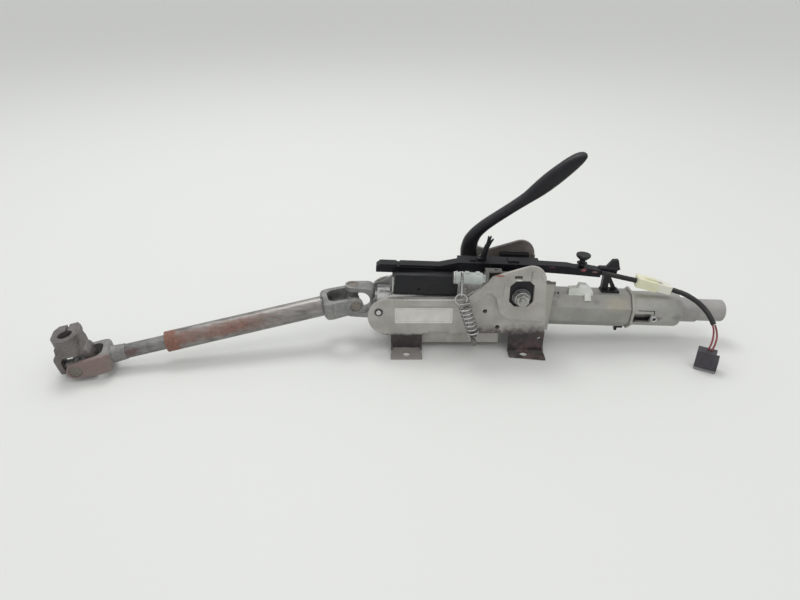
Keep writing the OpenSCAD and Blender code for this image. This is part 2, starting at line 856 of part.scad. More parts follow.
module lever_arm() {
  color(steel) difference() {
    plate_xz(lever_in, lever_in + lever_t) lever_outline();
    at_bolt() rod_y(lever_in - 1, lever_in + lever_t + 1, bolt_d + 2 * run_gap);
  }
}

module lever_grip() {
  color(black) difference() {
    translate([0, grip_y, 0]) loft(grip_path, grip_w / 2, 20);
    plate_xz(lever_in, lever_in + lever_t) lever_outline();
  }
}

// Jacket

module jacket_tube() {
  color(paint_grey) on_column() difference() {
    bar_x(jacket_start, jacket_end) octagon(jacket_af);
    bar_x(jacket_start - 1, jacket_end + 1) octagon(jacket_af - 2 * jacket_wall);
  }
}

module guide_rail() {
  slot_h = bolt_d + 0.8;
  slot_len = 2 * reach_travel + 2;
  color(paint_grey) on_column() difference() {
    bar_x(rail_start, rail_end) difference() {
      translate([-rail_y, 0]) square([2 * rail_y, rail_top]);
      translate([-rail_y + rail_t, 0]) square([2 * (rail_y - rail_t), rail_top - rail_t]);
      octagon(jacket_af);
    }
    for (x = [bolt_x - slot_len / 2, bolt_x + slot_len / 2])
      translate([x, 0, bolt_z]) rod_y(-rail_y - 1, rail_y + 1, slot_h);
    translate([bolt_x - slot_len / 2, -rail_y - 1, bolt_z - slot_h / 2])
      cube([slot_len, 2 * rail_y + 2, slot_h]);
    plate_xz(-rail_y - 1, rail_y + 1) polygon([[rail_end - 24, rail_top + 1], [rail_end - 24, rail_top - 2],
      [rail_end - 18, rail_low], [rail_end - 9, rail_low], [rail_end - 6, rail_low - 1.4],
      [rail_end + 1, rail_low - 1.4], [rail_end + 1, rail_top + 1]]);
    for (x = [rail_end - 17:4:rail_end - 5]) plate_xz(-rail_y - 1, -rail_y + rail_t + 1)
      polygon([[x, rail_low - 4], [x + 1.4, rail_low - 1.6], [x + 2.8, rail_low - 4]]);
  }
}

module end_flange() {
  color(paint_grey) on_column() bar_x(jacket_end, lock_start) difference() {
    octagon(flange_af);
    octagon(jacket_af - 2 * jacket_wall);
    translate([-flange_af, -flange_af - lock_af / 2 - 1.5]) square([2 * flange_af, flange_af]);
  }
}

module lock_housing() {
  wall_end = 4;
  round_r = 5;
  mid = lock_start + 20;
  color(paint_grey) on_column() difference() {
    intersection() {
      bar_x(lock_start, lock_end) octagon(lock_af);
      translate([lock_start, 0, 0]) rotate([0, 90, 0]) rotate_extrude() union() {
        square([lock_af / 2 + 0.7, lock_len - round_r]);
        square([lock_af / 2 + 0.7 - round_r, lock_len]);
        translate([lock_af / 2 + 0.7 - round_r, lock_len - round_r]) circle(r = round_r);
      }
    }
    rod_x(lock_start - 1, lock_end - wall_end, lock_bore);
    rod_x(lock_end - wall_end - 1, lock_end + 1, upper_d + 4);
    translate([lock_start + 2, -lock_af, -10]) cube([22, lock_af, 13]);
    translate([mid + 9, -lock_af / 2 - 1, -4.5]) rod_y(0, 6, 8);
    translate([lock_start + 6, -lock_af, 6.5]) cube([22, lock_af - 10, 1.4]);
    translate([lock_start + 26.6, -lock_af, 0.5]) cube([1.4, lock_af - 10, 7]);
  }
}

module top_clip() {
  top = jacket_af / 2;
  half = top * tan(22.5);
  color(milk) on_column() {
    intersection() {
      bar_x(clip_x, clip_x + 32) polygon([[-half, top], [-half - 2, top - 2], [-half - 2, top + 9],
        [-half, top + 13.5], [-half + 7, top + 13.5], [-half + 7, top]]);
      plate_xz(-half - 3, -half + 8) polygon([[clip_x, top - 3], [clip_x, top + 7.5],
        [clip_x + 11, top + 8.5], [clip_x + 12.5, top + 13.5], [clip_x + 22, top + 12.5], [clip_x + 26, top + 9],
        [clip_x + 30, top + 5.5], [clip_x + 32, top + 1], [clip_x + 31, top - 3]]);
    }
    bar_x(clip_x + 20, clip_x + 28) polygon([[-half - 2, top - 2], [-half - 7, top - 7],
      [-half - 9.2, top - 4.8], [-half - 2, top + 3]]);
  }
}

module bottom_clip() {
  low = jacket_af / 2;
  color(black) on_column() {
    translate([jacket_end - 11, -9, -low - 3]) cube([10, 6, 3]);
    translate([jacket_end - 11, -9, -low - 7]) cube([3, 6, 5]);
  }
}

// Cable duct and its clips

module cable_duct() {
  low = 46;
  color(black) on_column() {
    plate_xz(-duct_y, 2) polygon([[-5, low], [-5, 53], [0, 57], [20, 57], [21, 55.5], [24, 55.5], [25, 57],
      [74, 57], [97, duct_top], [97, 51], [74, low]]);
    plate_xz(-duct_y, 10) polygon([[97, 50], [97, duct_top], [200, duct_top], [200, 54], [120, 51]]);
    plate_xz(-duct_y + 4, 6) polygon([[200, 51], [200, strip_top + 3], [236, strip_top + 2], [246, strip_top],
      [262, strip_top], [duct_end, strip_top - 2.6], [duct_end, strip_top - 11.6], [240, 49]]);
    for (z = [49, 53]) translate([2, -duct_y - 0.8, z]) cube([66, 0.8, 1.2]);
    for (x = [104:16:184]) translate([x, -duct_y - 0.8, 54.5]) cube([1.6, 0.8, 6]);
    for (x = [212:12:260]) translate([x, -duct_y + 3.2, 51.5]) cube([1.4, 0.8, 5]);
    translate([112, -6, duct_top]) cube([8, 10, 1.6]);
    translate([160, -6, duct_top]) cube([14, 12, 1.6]);
    translate([186, -6, rail_top]) cube([8, 12, 16]);
  }
}

module push_clip() {
  color(black) on_column() translate([254, -1, strip_top]) {
    cylinder(h = 10, d = 7);
    translate([0, 0, 4]) cylinder(h = 1.6, d = 13);
    translate([0, 0, 10]) cylinder(h = 4, d1 = 10, d2 = 18);
    translate([0, 0, 14]) cylinder(h = 2.6, d = 18);
  }
}

module duct_support() {
  low = jacket_af / 2;
  color(black) on_column() {
    bar_x(duct_end, support_x + support_w - 7) polygon([[-0.6, 46.4], [-0.6, 55.4], [1, 57], [6, 57], [8, 55],
      [8, 46.4]]);
    plate_xz(0.5, 6.5) polygon([[support_x + 4, 56], [support_x + 11, 66.5], [support_x + 17.5, 67],
      [support_x + 20.5, 57.5], [support_x + 22, 54.5], [support_x + 17, 51]]);
    translate([support_x + 3, 0, low]) cube([8, 7.5, 47 - low]);
    plate_xz(1.2, 6.2) polygon([[support_x + 10, 47], [support_x + 10, 38], [support_x + 17, low + 2],
      [support_x + 23, low + 2]]);
    translate([support_x + 2, -5, low]) cube([23, 13, 2.5]);
  }
}

module prong_clip() {
  color(black) on_column() translate([126, 0, duct_top]) {
    translate([-4, -4, 0]) cube([8, 8, 3]);
    for (s = [-1, 0, 1]) rotate([12 * s, 24, 0]) translate([-1.2, -1.2, 1]) cube([2.4, 2.4, 25 - 3 * abs(s)]);
  }
}

// Harness: sheathed cable, inline connector, two leads and the plug

module harness_cable() {
  color(black) on_column() sweep(harness_route, harness_d / 2, 10, [0, 1, 0]);
}

module plug_wire_a() {
  color([0.5, 0.12, 0.16]) on_column() sweep(lead_a_route, lead_d / 2, 8, [1, 0, 0]);
}

module plug_wire_b() {
  color([0.35, 0.14, 0.12]) on_column() sweep(lead_b_route, lead_d / 2, 8, [1, 0, 0]);
}

module inline_connector() {
  a = harness_route[6];
  b = harness_route[7];
  dir = unit(b - a);
  side = unit(cross([0, 0, 1], dir));
  long = norm(b - a) - 2;
  color(ivory) on_column() on_frame(a + dir, dir, side) difference() {
    union() {
      translate([0, -8, -6.2]) cube([long * 0.58, 16, 12.5]);
      translate([long * 0.58, -6.8, -5.2]) cube([long * 0.42, 13.6, 10.6]);
      translate([long * 0.2, -3, 6.3]) cube([long * 0.5, 6, 1.8]);
    }
    rod_x(-1, long + 1, harness_d + 2 * connector_gap);
  }
}

module plug() {
  color(black) translate(plug_at) rotate([0, 0, plug_turn]) difference() {
    translate([-plug_w / 2, -plug_d / 2, 0]) cube([plug_w, plug_d, plug_h]);
    for (x = [-7.5, 0, 7.5]) translate([x - 2.5, -4, -1]) cube([5, 8, 9]);
    translate([plug_w / 2 - 4, -plug_d / 2 - 1, plug_h - 7]) cube([5, plug_d + 2, 8]);
    translate([-6, -plug_d / 2 - 1, 8]) cube([12, 2, 10]);
  }
}

// Universal joints

// Yoke with the joint centre at the origin, its arms along Y and its shaft along X
module yoke(throat, base) {
  total = throat + base;
  corner = 10;
  inner = 10;
  ear_r = cup_d / 2 + 2.6;
  chamfer = 3;
  difference() {
    intersection() {
      translate([0, 0, -boss_r]) linear_extrude(2 * boss_r) difference() {
        union() {
          translate([-ear_r, -arm_out]) square([ear_r + total - corner, 2 * arm_out]);
          translate([0, -arm_out + corner]) square([total, 2 * (arm_out - corner)]);
          for (s = [-1, 1]) translate([total - corner, s * (arm_out - corner)]) circle(r = corner);
        }
        translate([-ear_r - 1, -arm_in]) square([ear_r + 1 + throat - inner, 2 * arm_in]);
        translate([-ear_r, -arm_in + inner]) square([ear_r + throat, 2 * (arm_in - inner)]);
        for (s = [-1, 1]) translate([throat - inner, s * (arm_in - inner)]) circle(r = inner);
      }
      plate_xz(-arm_out, arm_out) union() {
        circle(r = ear_r);
        polygon([[0, -ear_r], [throat - 3, -boss_r], [total - chamfer, -boss_r], [total, -boss_r + chamfer],
          [total, boss_r - chamfer], [total - chamfer, boss_r], [throat - 3, boss_r], [0, ear_r]]);
      }
    }
    rod_y(-arm_out - 1, arm_out + 1, cup_d);
  }
}

// The two bearing cups of one yoke, open towards the joint centre
module cups() {
  for (s = [0, 1]) mirror([0, s, 0]) difference() {
    rod_y(arm_out - cup_sink - cup_len, arm_out - cup_sink, cup_d);
    rod_y(0, arm_out - cup_sink - cup_floor, trunnion_d + 2 * run_gap);
  }
}

module joint_cross() {
  rod_y(-trunnion_half, trunnion_half, trunnion_d);
  rotate([90, 0, 0]) rod_y(-trunnion_half, trunnion_half, trunnion_d);
  rod_y(-arm_in + 2.5, arm_in - 2.5, trunnion_d + 3);
  rotate([90, 0, 0]) rod_y(-arm_in + 2.5, arm_in - 2.5, trunnion_d + 3);
  sphere(r = trunnion_d * 0.85);
}

module on_spindle_joint() {
  on_frame(upper_joint, unit_x, unit_z) children();
}

module on_tube_joint() {
  on_frame(upper_joint, shaft_dir, side_dir) children();
}

module on_fork_joint() {
  on_frame(lower_joint, -shaft_dir, side_dir) children();
}

module on_pinch_joint() {
  on_frame(lower_joint, pinch_dir, pinch_arm_dir) children();
}

module spindle_yoke() {
  hub_end = joint_x + front_bearing_x;
  color(steel) on_spindle_joint() difference() {
    union() {
      yoke(spindle_throat, yoke_base);
      rod_x(spindle_throat + 1, hub_end, hub_d);
    }
    rod_x(spindle_throat - 1, hub_end + 1, spindle_d);
  }
}

module spindle_cups() {
  color(steel) on_spindle_joint() cups();
}

module upper_cross() {
  color(steel) on_frame(upper_joint, cross(side_dir, unit_z), side_dir) joint_cross();
}

module flats_section(d, cut) {
  intersection() {
    circle(d = d);
    square([d + 1, 2 * cut], center = true);
  }
}

module lower_spindle() {
  shoulder_x = front_bearing_x + front_bearing[2];
  color(steel) on_column() {
    rod_x(spindle_throat - joint_x, shoulder_x + 20, spindle_d);
    rod_x(shoulder_x, shoulder_x + 3, spindle_d + 4);
    bar_x(shoulder_x + 20, spindle_end) flats_section(spindle_d + 1, flat_cut);
  }
}

module upper_spindle() {
  wheel_x = collar_start + collar_len;
  shoulder_x = upper_bearing_x - 3;
  color(steel) on_column() difference() {
    union() {
      rod_x(upper_start, collar_start, upper_d);
      rod_x(shoulder_x, upper_bearing_x, upper_d + 3);
      rod_x(collar_start, wheel_x, collar_d);
      rod_x(wheel_x, wheel_x + wheel_len - 1.5, wheel_d);
      translate([wheel_x + wheel_len - 1.5, 0, 0]) rotate([0, 90, 0])
        cylinder(h = 1.5, d1 = wheel_d, d2 = wheel_d - 3);
    }
    bar_x(upper_start - 1, spindle_end + reach_travel + 10)
      flats_section(spindle_d + 1 + 2 * fit_gap, flat_cut + fit_gap);
    rod_x(wheel_x + wheel_len - 25, wheel_x + wheel_len + 1, 14.5);
  }
}

// Intermediate shaft

module tube_yoke() {
  color(steel) on_tube_joint() {
    yoke(shaft_throat, heavy_base);
    rod_x(tube_start - 1, tube_start + socket_len, tube_bore);
  }
}

module tube_cups() {
  color(steel) on_tube_joint() cups();
}

module intermediate_tube() {
  color(rust) on_tube_joint() ring_x(tube_start, tube_start + tube_len, tube_d, tube_bore);
}

module slide_sleeve() {
  x1 = tube_start + tube_len;
  color(milk) on_tube_joint() difference() {
    rod_x(x1 - 60, x1 - 0.5, tube_bore);
    bar_x(x1 - 61, x1 + 1) flats_section(shaft_d + 2 * fit_gap, flat_cut + fit_gap);
  }
}

module lower_shaft() {
  tube_x1 = tube_start + tube_len;
  color(steel) on_tube_joint() {
    bar_x(tube_x1 - shaft_in, tube_x1 + 42) flats_section(shaft_d, flat_cut);
    rod_x(tube_x1 + 42, fork_start + heavy_base - 2, shaft_d);
  }
}

module shaft_fork() {
  total = shaft_throat + heavy_base;
  color(steel) on_fork_joint() difference() {
    union() {
      yoke(shaft_throat, heavy_base);
      translate([total - 0.5, 0, 0]) rotate([0, 90, 0])
        cylinder(h = 16, d1 = 2 * boss_r - 1.5, d2 = shaft_d + 1.6);
    }
    rod_x(shaft_throat + 2, total + 20, shaft_d);
  }
}

module fork_cups() {
  color(steel) on_fork_joint() cups();
}

module lower_cross() {
  color(steel) on_frame(lower_joint, cross(side_dir, pinch_arm_dir), side_dir) joint_cross();
}

module pinch_yoke() {
  end_x = pinch_throat + pinch_len;
  hub_r = 16;
  flat_z = 24;
  bolt_z_off = 16.5;
  slit = 3;
  color(steel) on_pinch_joint() difference() {
    union() {
      yoke(pinch_throat, yoke_base);
      rod_x(pinch_throat, end_x, 2 * hub_r);
      translate([0, 0, -boss_r + 1]) linear_extrude(2 * boss_r - 2) polygon([[pinch_throat + 1, -arm_out + 4],
        [pinch_throat + 12, -hub_r + 1], [pinch_throat + 12, hub_r - 1], [pinch_throat + 1, arm_out - 4]]);
      bar_x(pinch_throat + 2, end_x) polygon([[-hub_r, 0], [-hub_r, -flat_z + 8], [-hub_r + 5, -flat_z],
        [hub_r - 5, -flat_z], [hub_r, -flat_z + 8], [hub_r, 0]]);
    }
    rod_x(0, end_x + 1, pinch_d);
    translate([pinch_throat - 1, -slit / 2, -flat_z - 1]) cube([pinch_len + 2, slit, flat_z]);
    translate([end_x - 10, 0, -bolt_z_off]) rod_y(-30, 30, 8.5);
  }
}

module pinch_cups() {
  color(steel) on_pinch_joint() cups();
}

bracket_channel();
cheek_near();
cheek_far();
pivot_pins();
balance_spring();
guide_tube();
swing_plates();
front_bulkhead();
bearing_cup();
pivot_bushes();
front_bearing_outer();
front_bearing_balls();
guide_liners();
side_shield();
hanger_rod();
spring_sleeve();
spring_link();
clamp_bolt();
clamp_nut();
clamp_washers();
friction_pads();
fixed_cam();
moving_cam();
lever_arm();
lever_grip();
jacket_tube();
guide_rail();
end_flange();
lock_housing();
upper_bearing_outer();
upper_bearing_balls();
top_clip();
bottom_clip();
cable_duct();
push_clip();
duct_support();
prong_clip();
inline_connector();
harness_cable();
plug_wire_a();
plug_wire_b();
plug();
spindle_yoke();
spindle_cups();
lower_spindle();
front_bearing_inner();
upper_spindle();
upper_bearing_inner();
upper_cross();
tube_yoke();
tube_cups();
intermediate_tube();
slide_sleeve();
lower_shaft();
shaft_fork();
fork_cups();
lower_cross();
pinch_yoke();
pinch_cups();
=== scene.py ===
import json
import math

import bmesh
import bpy
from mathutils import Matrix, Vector


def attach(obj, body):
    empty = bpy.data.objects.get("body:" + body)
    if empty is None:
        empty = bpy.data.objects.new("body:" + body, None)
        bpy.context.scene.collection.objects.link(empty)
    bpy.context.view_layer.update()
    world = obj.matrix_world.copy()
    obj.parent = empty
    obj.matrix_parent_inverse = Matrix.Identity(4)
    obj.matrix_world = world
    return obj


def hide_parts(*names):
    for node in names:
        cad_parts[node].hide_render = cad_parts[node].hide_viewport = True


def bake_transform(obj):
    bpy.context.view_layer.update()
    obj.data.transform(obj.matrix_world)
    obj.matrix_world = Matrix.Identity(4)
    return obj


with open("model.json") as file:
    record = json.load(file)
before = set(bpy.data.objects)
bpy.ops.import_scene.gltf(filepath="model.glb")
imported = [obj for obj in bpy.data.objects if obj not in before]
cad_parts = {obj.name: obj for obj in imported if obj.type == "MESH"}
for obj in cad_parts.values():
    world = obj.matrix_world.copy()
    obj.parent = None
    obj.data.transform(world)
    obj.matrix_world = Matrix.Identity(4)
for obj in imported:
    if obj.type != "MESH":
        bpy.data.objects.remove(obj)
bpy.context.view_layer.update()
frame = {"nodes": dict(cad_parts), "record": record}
nodes = frame["nodes"]
bodyOf = {n: b for b, members in frame["record"]["behaviour"]["bodies"].items() for n in members}
slotOf = {s["node"]: s["material_slot"] for s in frame["record"]["subparts"]}
print("frame loaded:", len(nodes), "nodes")


def srgb(r, g, b):
    def lin(c):
        c = c / 255
        return c / 12.92 if c <= 0.04045 else ((c + 0.055) / 1.055) ** 2.4
    return (lin(r), lin(g), lin(b), 1.0)


def mm(*p):
    return Vector([c / 1000 for c in p])


# column frame: x along the axis from the pivot, z away from the mounting plane
columnTilt = math.radians(2.1)
columnX = Vector((math.cos(columnTilt), 0, -math.sin(columnTilt)))
columnZ = Vector((math.sin(columnTilt), 0, math.cos(columnTilt)))
pivot = mm(-110, 0, 57)


def onColumn(x, y, z):
    return pivot + columnX * (x / 1000) + Vector((0, y / 1000, 0)) + columnZ * (z / 1000)


def added(name, data):
    thing = bpy.data.objects.new(name, data)
    bpy.context.scene.collection.objects.link(thing)
    return thing


def meshPiece(name, points, faces):
    mesh = bpy.data.meshes.new(name)
    mesh.from_pydata([tuple(p) for p in points], [], faces)
    return added(name, mesh)


# node helpers: a value is either a wire (an output socket) or a constant

def feed(socket, value):
    if hasattr(value, "is_output"):
        value.id_data.links.new(value, socket)
    else:
        socket.default_value = value


def treeOf(*values):
    return next(v.id_data for v in values if hasattr(v, "is_output"))


def put(tree, kind, values=None, **settings):
    node = tree.nodes.new("ShaderNode" + kind)
    for key, value in settings.items():
        setattr(node, key, value)
    for key, value in (values or {}).items():
        feed(node.inputs[key], value)
    return node


def maths(operation, a, b=0.0, clamp=False):
    return put(treeOf(a, b), "Math", {0: a, 1: b}, operation=operation, use_clamp=clamp).outputs[0]


def times(a, b, clamp=False):
    return maths("MULTIPLY", a, b, clamp)


def plus(a, b, clamp=False):
    return maths("ADD", a, b, clamp)


def minus(a, b):
    return maths("SUBTRACT", a, b)


def vectors(operation, a, b=(0.0, 0.0, 0.0)):
    return put(treeOf(a, b), "VectorMath", {0: a, 1: b}, operation=operation).outputs


def spread(value, low, high, toLow=0.0, toHigh=1.0):
    ends = {"Value": value, "From Min": low, "From Max": high, "To Min": toLow, "To Max": toHigh}
    return put(value.id_data, "MapRange", ends, interpolation_type="SMOOTHSTEP").outputs["Result"]


def blendColour(factor, a, b):
    return put(treeOf(factor, a, b), "Mix", {0: factor, 6: a, 7: b}, data_type="RGBA").outputs[2]


def noise(vector, scale, detail=4.0, rough=0.55, distortion=0.0):
    values = {"Vector": vector, "Scale": scale, "Detail": detail, "Roughness": rough, "Distortion": distortion}
    return put(vector.id_data, "TexNoise", values).outputs["Fac"]


# camera, floor and light

studio = {
    "eye": (-0.0832, -0.7021, 0.4455), "pitch": 29.0, "lens": 27.72, "sensor": 36, "nearest": 0.01,
    "floor": srgb(228, 229, 225), "floorRough": 0.55, "floorShine": 0.25, "floorHalf": 14.0, "floorZ": -0.0004,
    "sky": ((0.0, (0.60, 0.61, 0.62, 1.0)), (0.35, (0.80, 0.81, 0.82, 1.0)), (1.0, (1.0, 1.0, 1.0, 1.0))),
    "skyStrength": 0.79,
    "key": ((-0.5, 0.9, 2.2), 0.9, 16.0),  # place, size, power
    "fill": ((0.4, -0.9, 2.3), 1.8, 7.0),
    "aim": (0, 0, 0.05),
}


def makeStudio():
    scene = bpy.context.scene
    scene.view_settings.view_transform = "Standard"
    view = bpy.data.cameras.new("photoCamera")
    view.lens = studio["lens"]
    view.sensor_width = studio["sensor"]
    view.clip_start = studio["nearest"]
    scene.camera = added("photoCamera", view)
    scene.camera.location = studio["eye"]
    scene.camera.rotation_euler = (math.radians(90 - studio["pitch"]), 0, 0)

    s = studio["floorHalf"]
    floor = meshPiece("tableTop", [(-s, -s, 0), (s, -s, 0), (s, s, 0), (-s, s, 0)], [(0, 1, 2, 3)])
    floor.location.z = studio["floorZ"]
    pale = bpy.data.materials.new("paleTable")
    pale.use_nodes = True
    shader = pale.node_tree.nodes["Principled BSDF"]
    shader.inputs["Base Color"].default_value = studio["floor"]
    shader.inputs["Roughness"].default_value = studio["floorRough"]
    shader.inputs["Specular IOR Level"].default_value = studio["floorShine"]
    floor.data.materials.append(pale)

    scene.world = bpy.data.worlds.new("softRoom")
    scene.world.use_nodes = True
    tree = scene.world.node_tree
    sky = tree.nodes["Background"]
    sky.inputs["Strength"].default_value = studio["skyStrength"]
    axes = put(tree, "SeparateXYZ", {0: put(tree, "TexCoord").outputs["Generated"]})
    ramp = put(tree, "ValToRGB", {"Fac": axes.outputs["Z"]})
    feed(sky.inputs["Color"], ramp.outputs["Color"])
    stops = ramp.color_ramp.elements
    stops.new(0.5)
    for stop, (position, colour) in zip(stops, studio["sky"]):
        stop.position = position
        stop.color = colour
    for name in ("key", "fill"):
        panel = bpy.data.lights.new(name + "Panel", "AREA")
        panel.shape = "SQUARE"
        at, panel.size, panel.energy = studio[name]
        lamp = added(name + "Panel", panel)
        lamp.location = at
        lamp.rotation_euler = (Vector(studio["aim"]) - lamp.location).to_track_quat("-Z", "Y").to_euler()


makeStudio()
print("studio ready")


# shared effects as node groups, each with a Vector input and its own values

groups = {}
usualGrain = 350.0


def newGroup(name, values, outputs):
    tree = groups[name] = bpy.data.node_groups.new(name, "ShaderNodeTree")
    for label, value in {"Vector": (0.0, 0.0, 0.0), **values}.items():
        kind = "NodeSocketVector" if isinstance(value, tuple) else "NodeSocketFloat"
        tree.interface.new_socket(label, in_out="INPUT", socket_type=kind).default_value = value
    for label in outputs:
        kind = "NodeSocketColor" if label == "Color" else "NodeSocketFloat"
        tree.interface.new_socket(label, in_out="OUTPUT", socket_type=kind)
    return tree, tree.nodes.new("NodeGroupInput").outputs, tree.nodes.new("NodeGroupOutput").inputs


def makeEdgeWear():
    tree, given, result = newGroup("edgeWear", {"Radius": 0.0008, "Scale": 300.0, "Amount": 0.6}, ["Mask"])
    rounded = put(tree, "Bevel", {"Radius": given["Radius"]}, samples=4).outputs["Normal"]
    flat = put(tree, "NewGeometry").outputs["Normal"]
    edge = spread(vectors("DOT_PRODUCT", rounded, flat)["Value"], 0.995, 0.90)
    broken = spread(noise(given["Vector"], given["Scale"], 3.0), 0.38, 0.62)
    feed(result["Mask"], times(times(edge, broken), given["Amount"], True))


def makeFineGrain():
    tree, given, result = newGroup("fineGrain", {"Scale": 1500.0, "Cloud": 60.0}, ["Height", "Cloud"])
    cells = put(tree, "TexVoronoi", {"Vector": given["Vector"], "Scale": given["Scale"]}).outputs["Distance"]
    fine = noise(given["Vector"], given["Scale"], 2.0)
    feed(result["Height"], plus(times(cells, 0.5), times(fine, 0.5)))
    feed(result["Cloud"], noise(given["Vector"], given["Cloud"], 5.0))


def makeRustBloom():
    tree, given, result = newGroup("rustBloom", {"Scale": 90.0, "Coverage": 0.4, "Softness": 0.12},
                                   ["Mask", "Color", "Height"])
    wide = noise(given["Vector"], given["Scale"], 8.0, 0.62, 0.4)
    start = minus(1.0, given["Coverage"])
    feed(result["Mask"], spread(wide, minus(start, given["Softness"]), plus(start, given["Softness"])))
    tone = noise(given["Vector"], times(given["Scale"], 3.0), 6.0, 0.6)
    ramp = put(tree, "ValToRGB", {"Fac": tone})
    stops = ramp.color_ramp.elements
    stops.new(0.48)
    rusts = ((0.30, (82, 62, 56)), (0.48, (118, 84, 72)), (0.68, (148, 109, 92)))
    for stop, (position, colour) in zip(stops, rusts):
        stop.position = position
        stop.color = srgb(*colour)
    feed(result["Color"], ramp.outputs["Color"])
    feed(result["Height"], noise(given["Vector"], times(given["Scale"], 12.0), 3.0))


def makeDustCover():
    tree, given, result = newGroup("dustCover", {"Scale": 45.0, "Amount": 0.3}, ["Mask"])
    normal = put(tree, "NewGeometry").outputs["Normal"]
    upward = spread(put(tree, "SeparateXYZ", {0: normal}).outputs["Z"], 0.2, 0.95)
    cloud = spread(noise(given["Vector"], given["Scale"], 6.0), 0.35, 0.7)
    feed(result["Mask"], times(times(upward, cloud), given["Amount"], True))


def makeDrawnLines():
    given, result = newGroup("drawnLines", {"Stretch": (20.0, 900.0, 900.0)}, ["Value"])[1:]
    pulled = vectors("MULTIPLY", given["Vector"], given["Stretch"])["Vector"]
    feed(result["Value"], noise(pulled, 1.0, 3.0, 0.6))


def makeScuffs():
    tree, given, result = newGroup("scuffs", {"Scale": 120.0, "Amount": 0.4}, ["Mask"])
    turned = put(tree, "Mapping", {"Vector": given["Vector"], "Rotation": (0.4, 0.7, 0.3), "Scale": (0.22, 1.0, 1.6)})
    lines = noise(turned.outputs["Vector"], given["Scale"], 2.0, 0.5, 1.2)
    thin = spread(maths("ABSOLUTE", minus(lines, 0.5)), 0.016, 0.004)
    where = spread(noise(given["Vector"], 35.0, 3.0), 0.48, 0.64)
    feed(result["Mask"], times(times(thin, where), given["Amount"], True))


def makeZoneFade():
    given, result = newGroup("zoneFade", {"Direction": (0.0, 0.0, 1.0), "Empty": 0.0, "Full": 1.0}, ["Mask"])[1:]
    along = vectors("DOT_PRODUCT", given["Vector"], given["Direction"])["Value"]
    rag = minus(noise(given["Vector"], 140.0, 5.0), 0.5)
    shift = times(rag, minus(given["Full"], given["Empty"]))
    feed(result["Mask"], spread(plus(along, shift), given["Empty"], given["Full"]))


# feet: rust, reddest low down, and painted shade that darkens them towards the top
def makeFootRustAndShade():
    tree, given, result = newGroup("footRust", {"Side": 0.031, "Top": 0.03, "Fade": 0.006, "Floor": 0.0035},
                                   ["Mask", "Low"])
    axes = put(tree, "SeparateXYZ", {0: given["Vector"]}).outputs
    outside = spread(minus(maths("ABSOLUTE", axes["Y"]), given["Side"]), -0.0006, 0.0002)
    rag = minus(noise(given["Vector"], 160.0, 5.0), 0.5)
    height = plus(axes["Z"], times(rag, given["Fade"]))
    fallen = spread(height, given["Top"], minus(given["Top"], given["Fade"]))
    above = spread(minus(axes["Z"], given["Floor"]), -0.0006, 0.0008)
    feed(result["Mask"], times(times(outside, fallen), above))
    feed(result["Low"], spread(height, 0.024, 0.004))


def makeSpot():
    given, result = newGroup("spot", {"Centre": (0.0, 0.0, 0.0), "Size": (0.01, 0.01, 0.01), "Ragged": 0.4,
                                      "Grain": usualGrain}, ["Mask"])[1:]
    offset = vectors("SUBTRACT", given["Vector"], given["Centre"])["Vector"]
    reach = vectors("LENGTH", vectors("DIVIDE", offset, given["Size"])["Vector"])["Value"]
    rag = times(minus(noise(given["Vector"], given["Grain"], 4.0), 0.5), 2.0)
    feed(result["Mask"], spread(plus(reach, times(rag, given["Ragged"])), 1.05, 0.35))


for makeEffect in (makeEdgeWear, makeFineGrain, makeRustBloom, makeDustCover, makeDrawnLines, makeScuffs,
                   makeZoneFade, makeFootRustAndShade, makeSpot):
    makeEffect()
print("shared effects:", len(groups))


def place(groupName, coords, **values):
    return put(coords.id_data, "Group", {"Vector": coords, **values}, node_tree=groups[groupName]).outputs


def startFinish(name, tones):
    material = bpy.data.materials.new(name)
    material.use_nodes = True
    tree = material.node_tree
    coords = put(tree, "TexCoord").outputs["Object"]
    return material, tree.nodes["Principled BSDF"], coords, [srgb(*c) for c in tones]


def connect(shader, colour, rough, height, distance):
    feed(shader.inputs["Base Color"], colour)
    feed(shader.inputs["Roughness"], rough)
    bump = put(height.id_data, "Bump", {"Height": height, "Distance": distance, "Strength": 1.0})
    feed(shader.inputs["Normal"], bump.outputs["Normal"])


def fadeMask(coords, fades, amount):
    mask = amount
    for direction, empty, full in fades:
        mask = times(place("zoneFade", coords, Direction=direction, Empty=empty, Full=full)["Mask"], mask)
    return mask


# tints: fades along directions (metres), colour, amount
# spots: place and half size (mm), colour, amount, raggedness and, where it isn't the usual, grain
def marked(coords, colour, look):
    for fades, tint, amount in look.get("tints", ()):
        colour = blendColour(fadeMask(coords, fades, amount), colour, srgb(*tint))
    for at, size, tint, amount, ragged, *grain in look.get("spots", ()):
        mark = place("spot", coords, Centre=mm(*at), Size=mm(*size), Ragged=ragged,
                     Grain=grain[0] if grain else usualGrain)
        colour = blendColour(times(mark["Mask"], amount, True), colour, srgb(*tint))
    return colour


# painted sheet metal: satin grey, bare at the edges, and dark at the feet: rust, with painted shade that turns them
# near-black towards the top
sheetBasics = {"grain": 900.0, "wear": 0.6, "scuffs": 0.35, "stainCover": 0.36, "rough": (0.38, 0.58), "metal": 0.15,
               "dust": 0.18, "dustColour": (176, 172, 162), "bump": 0.00006}


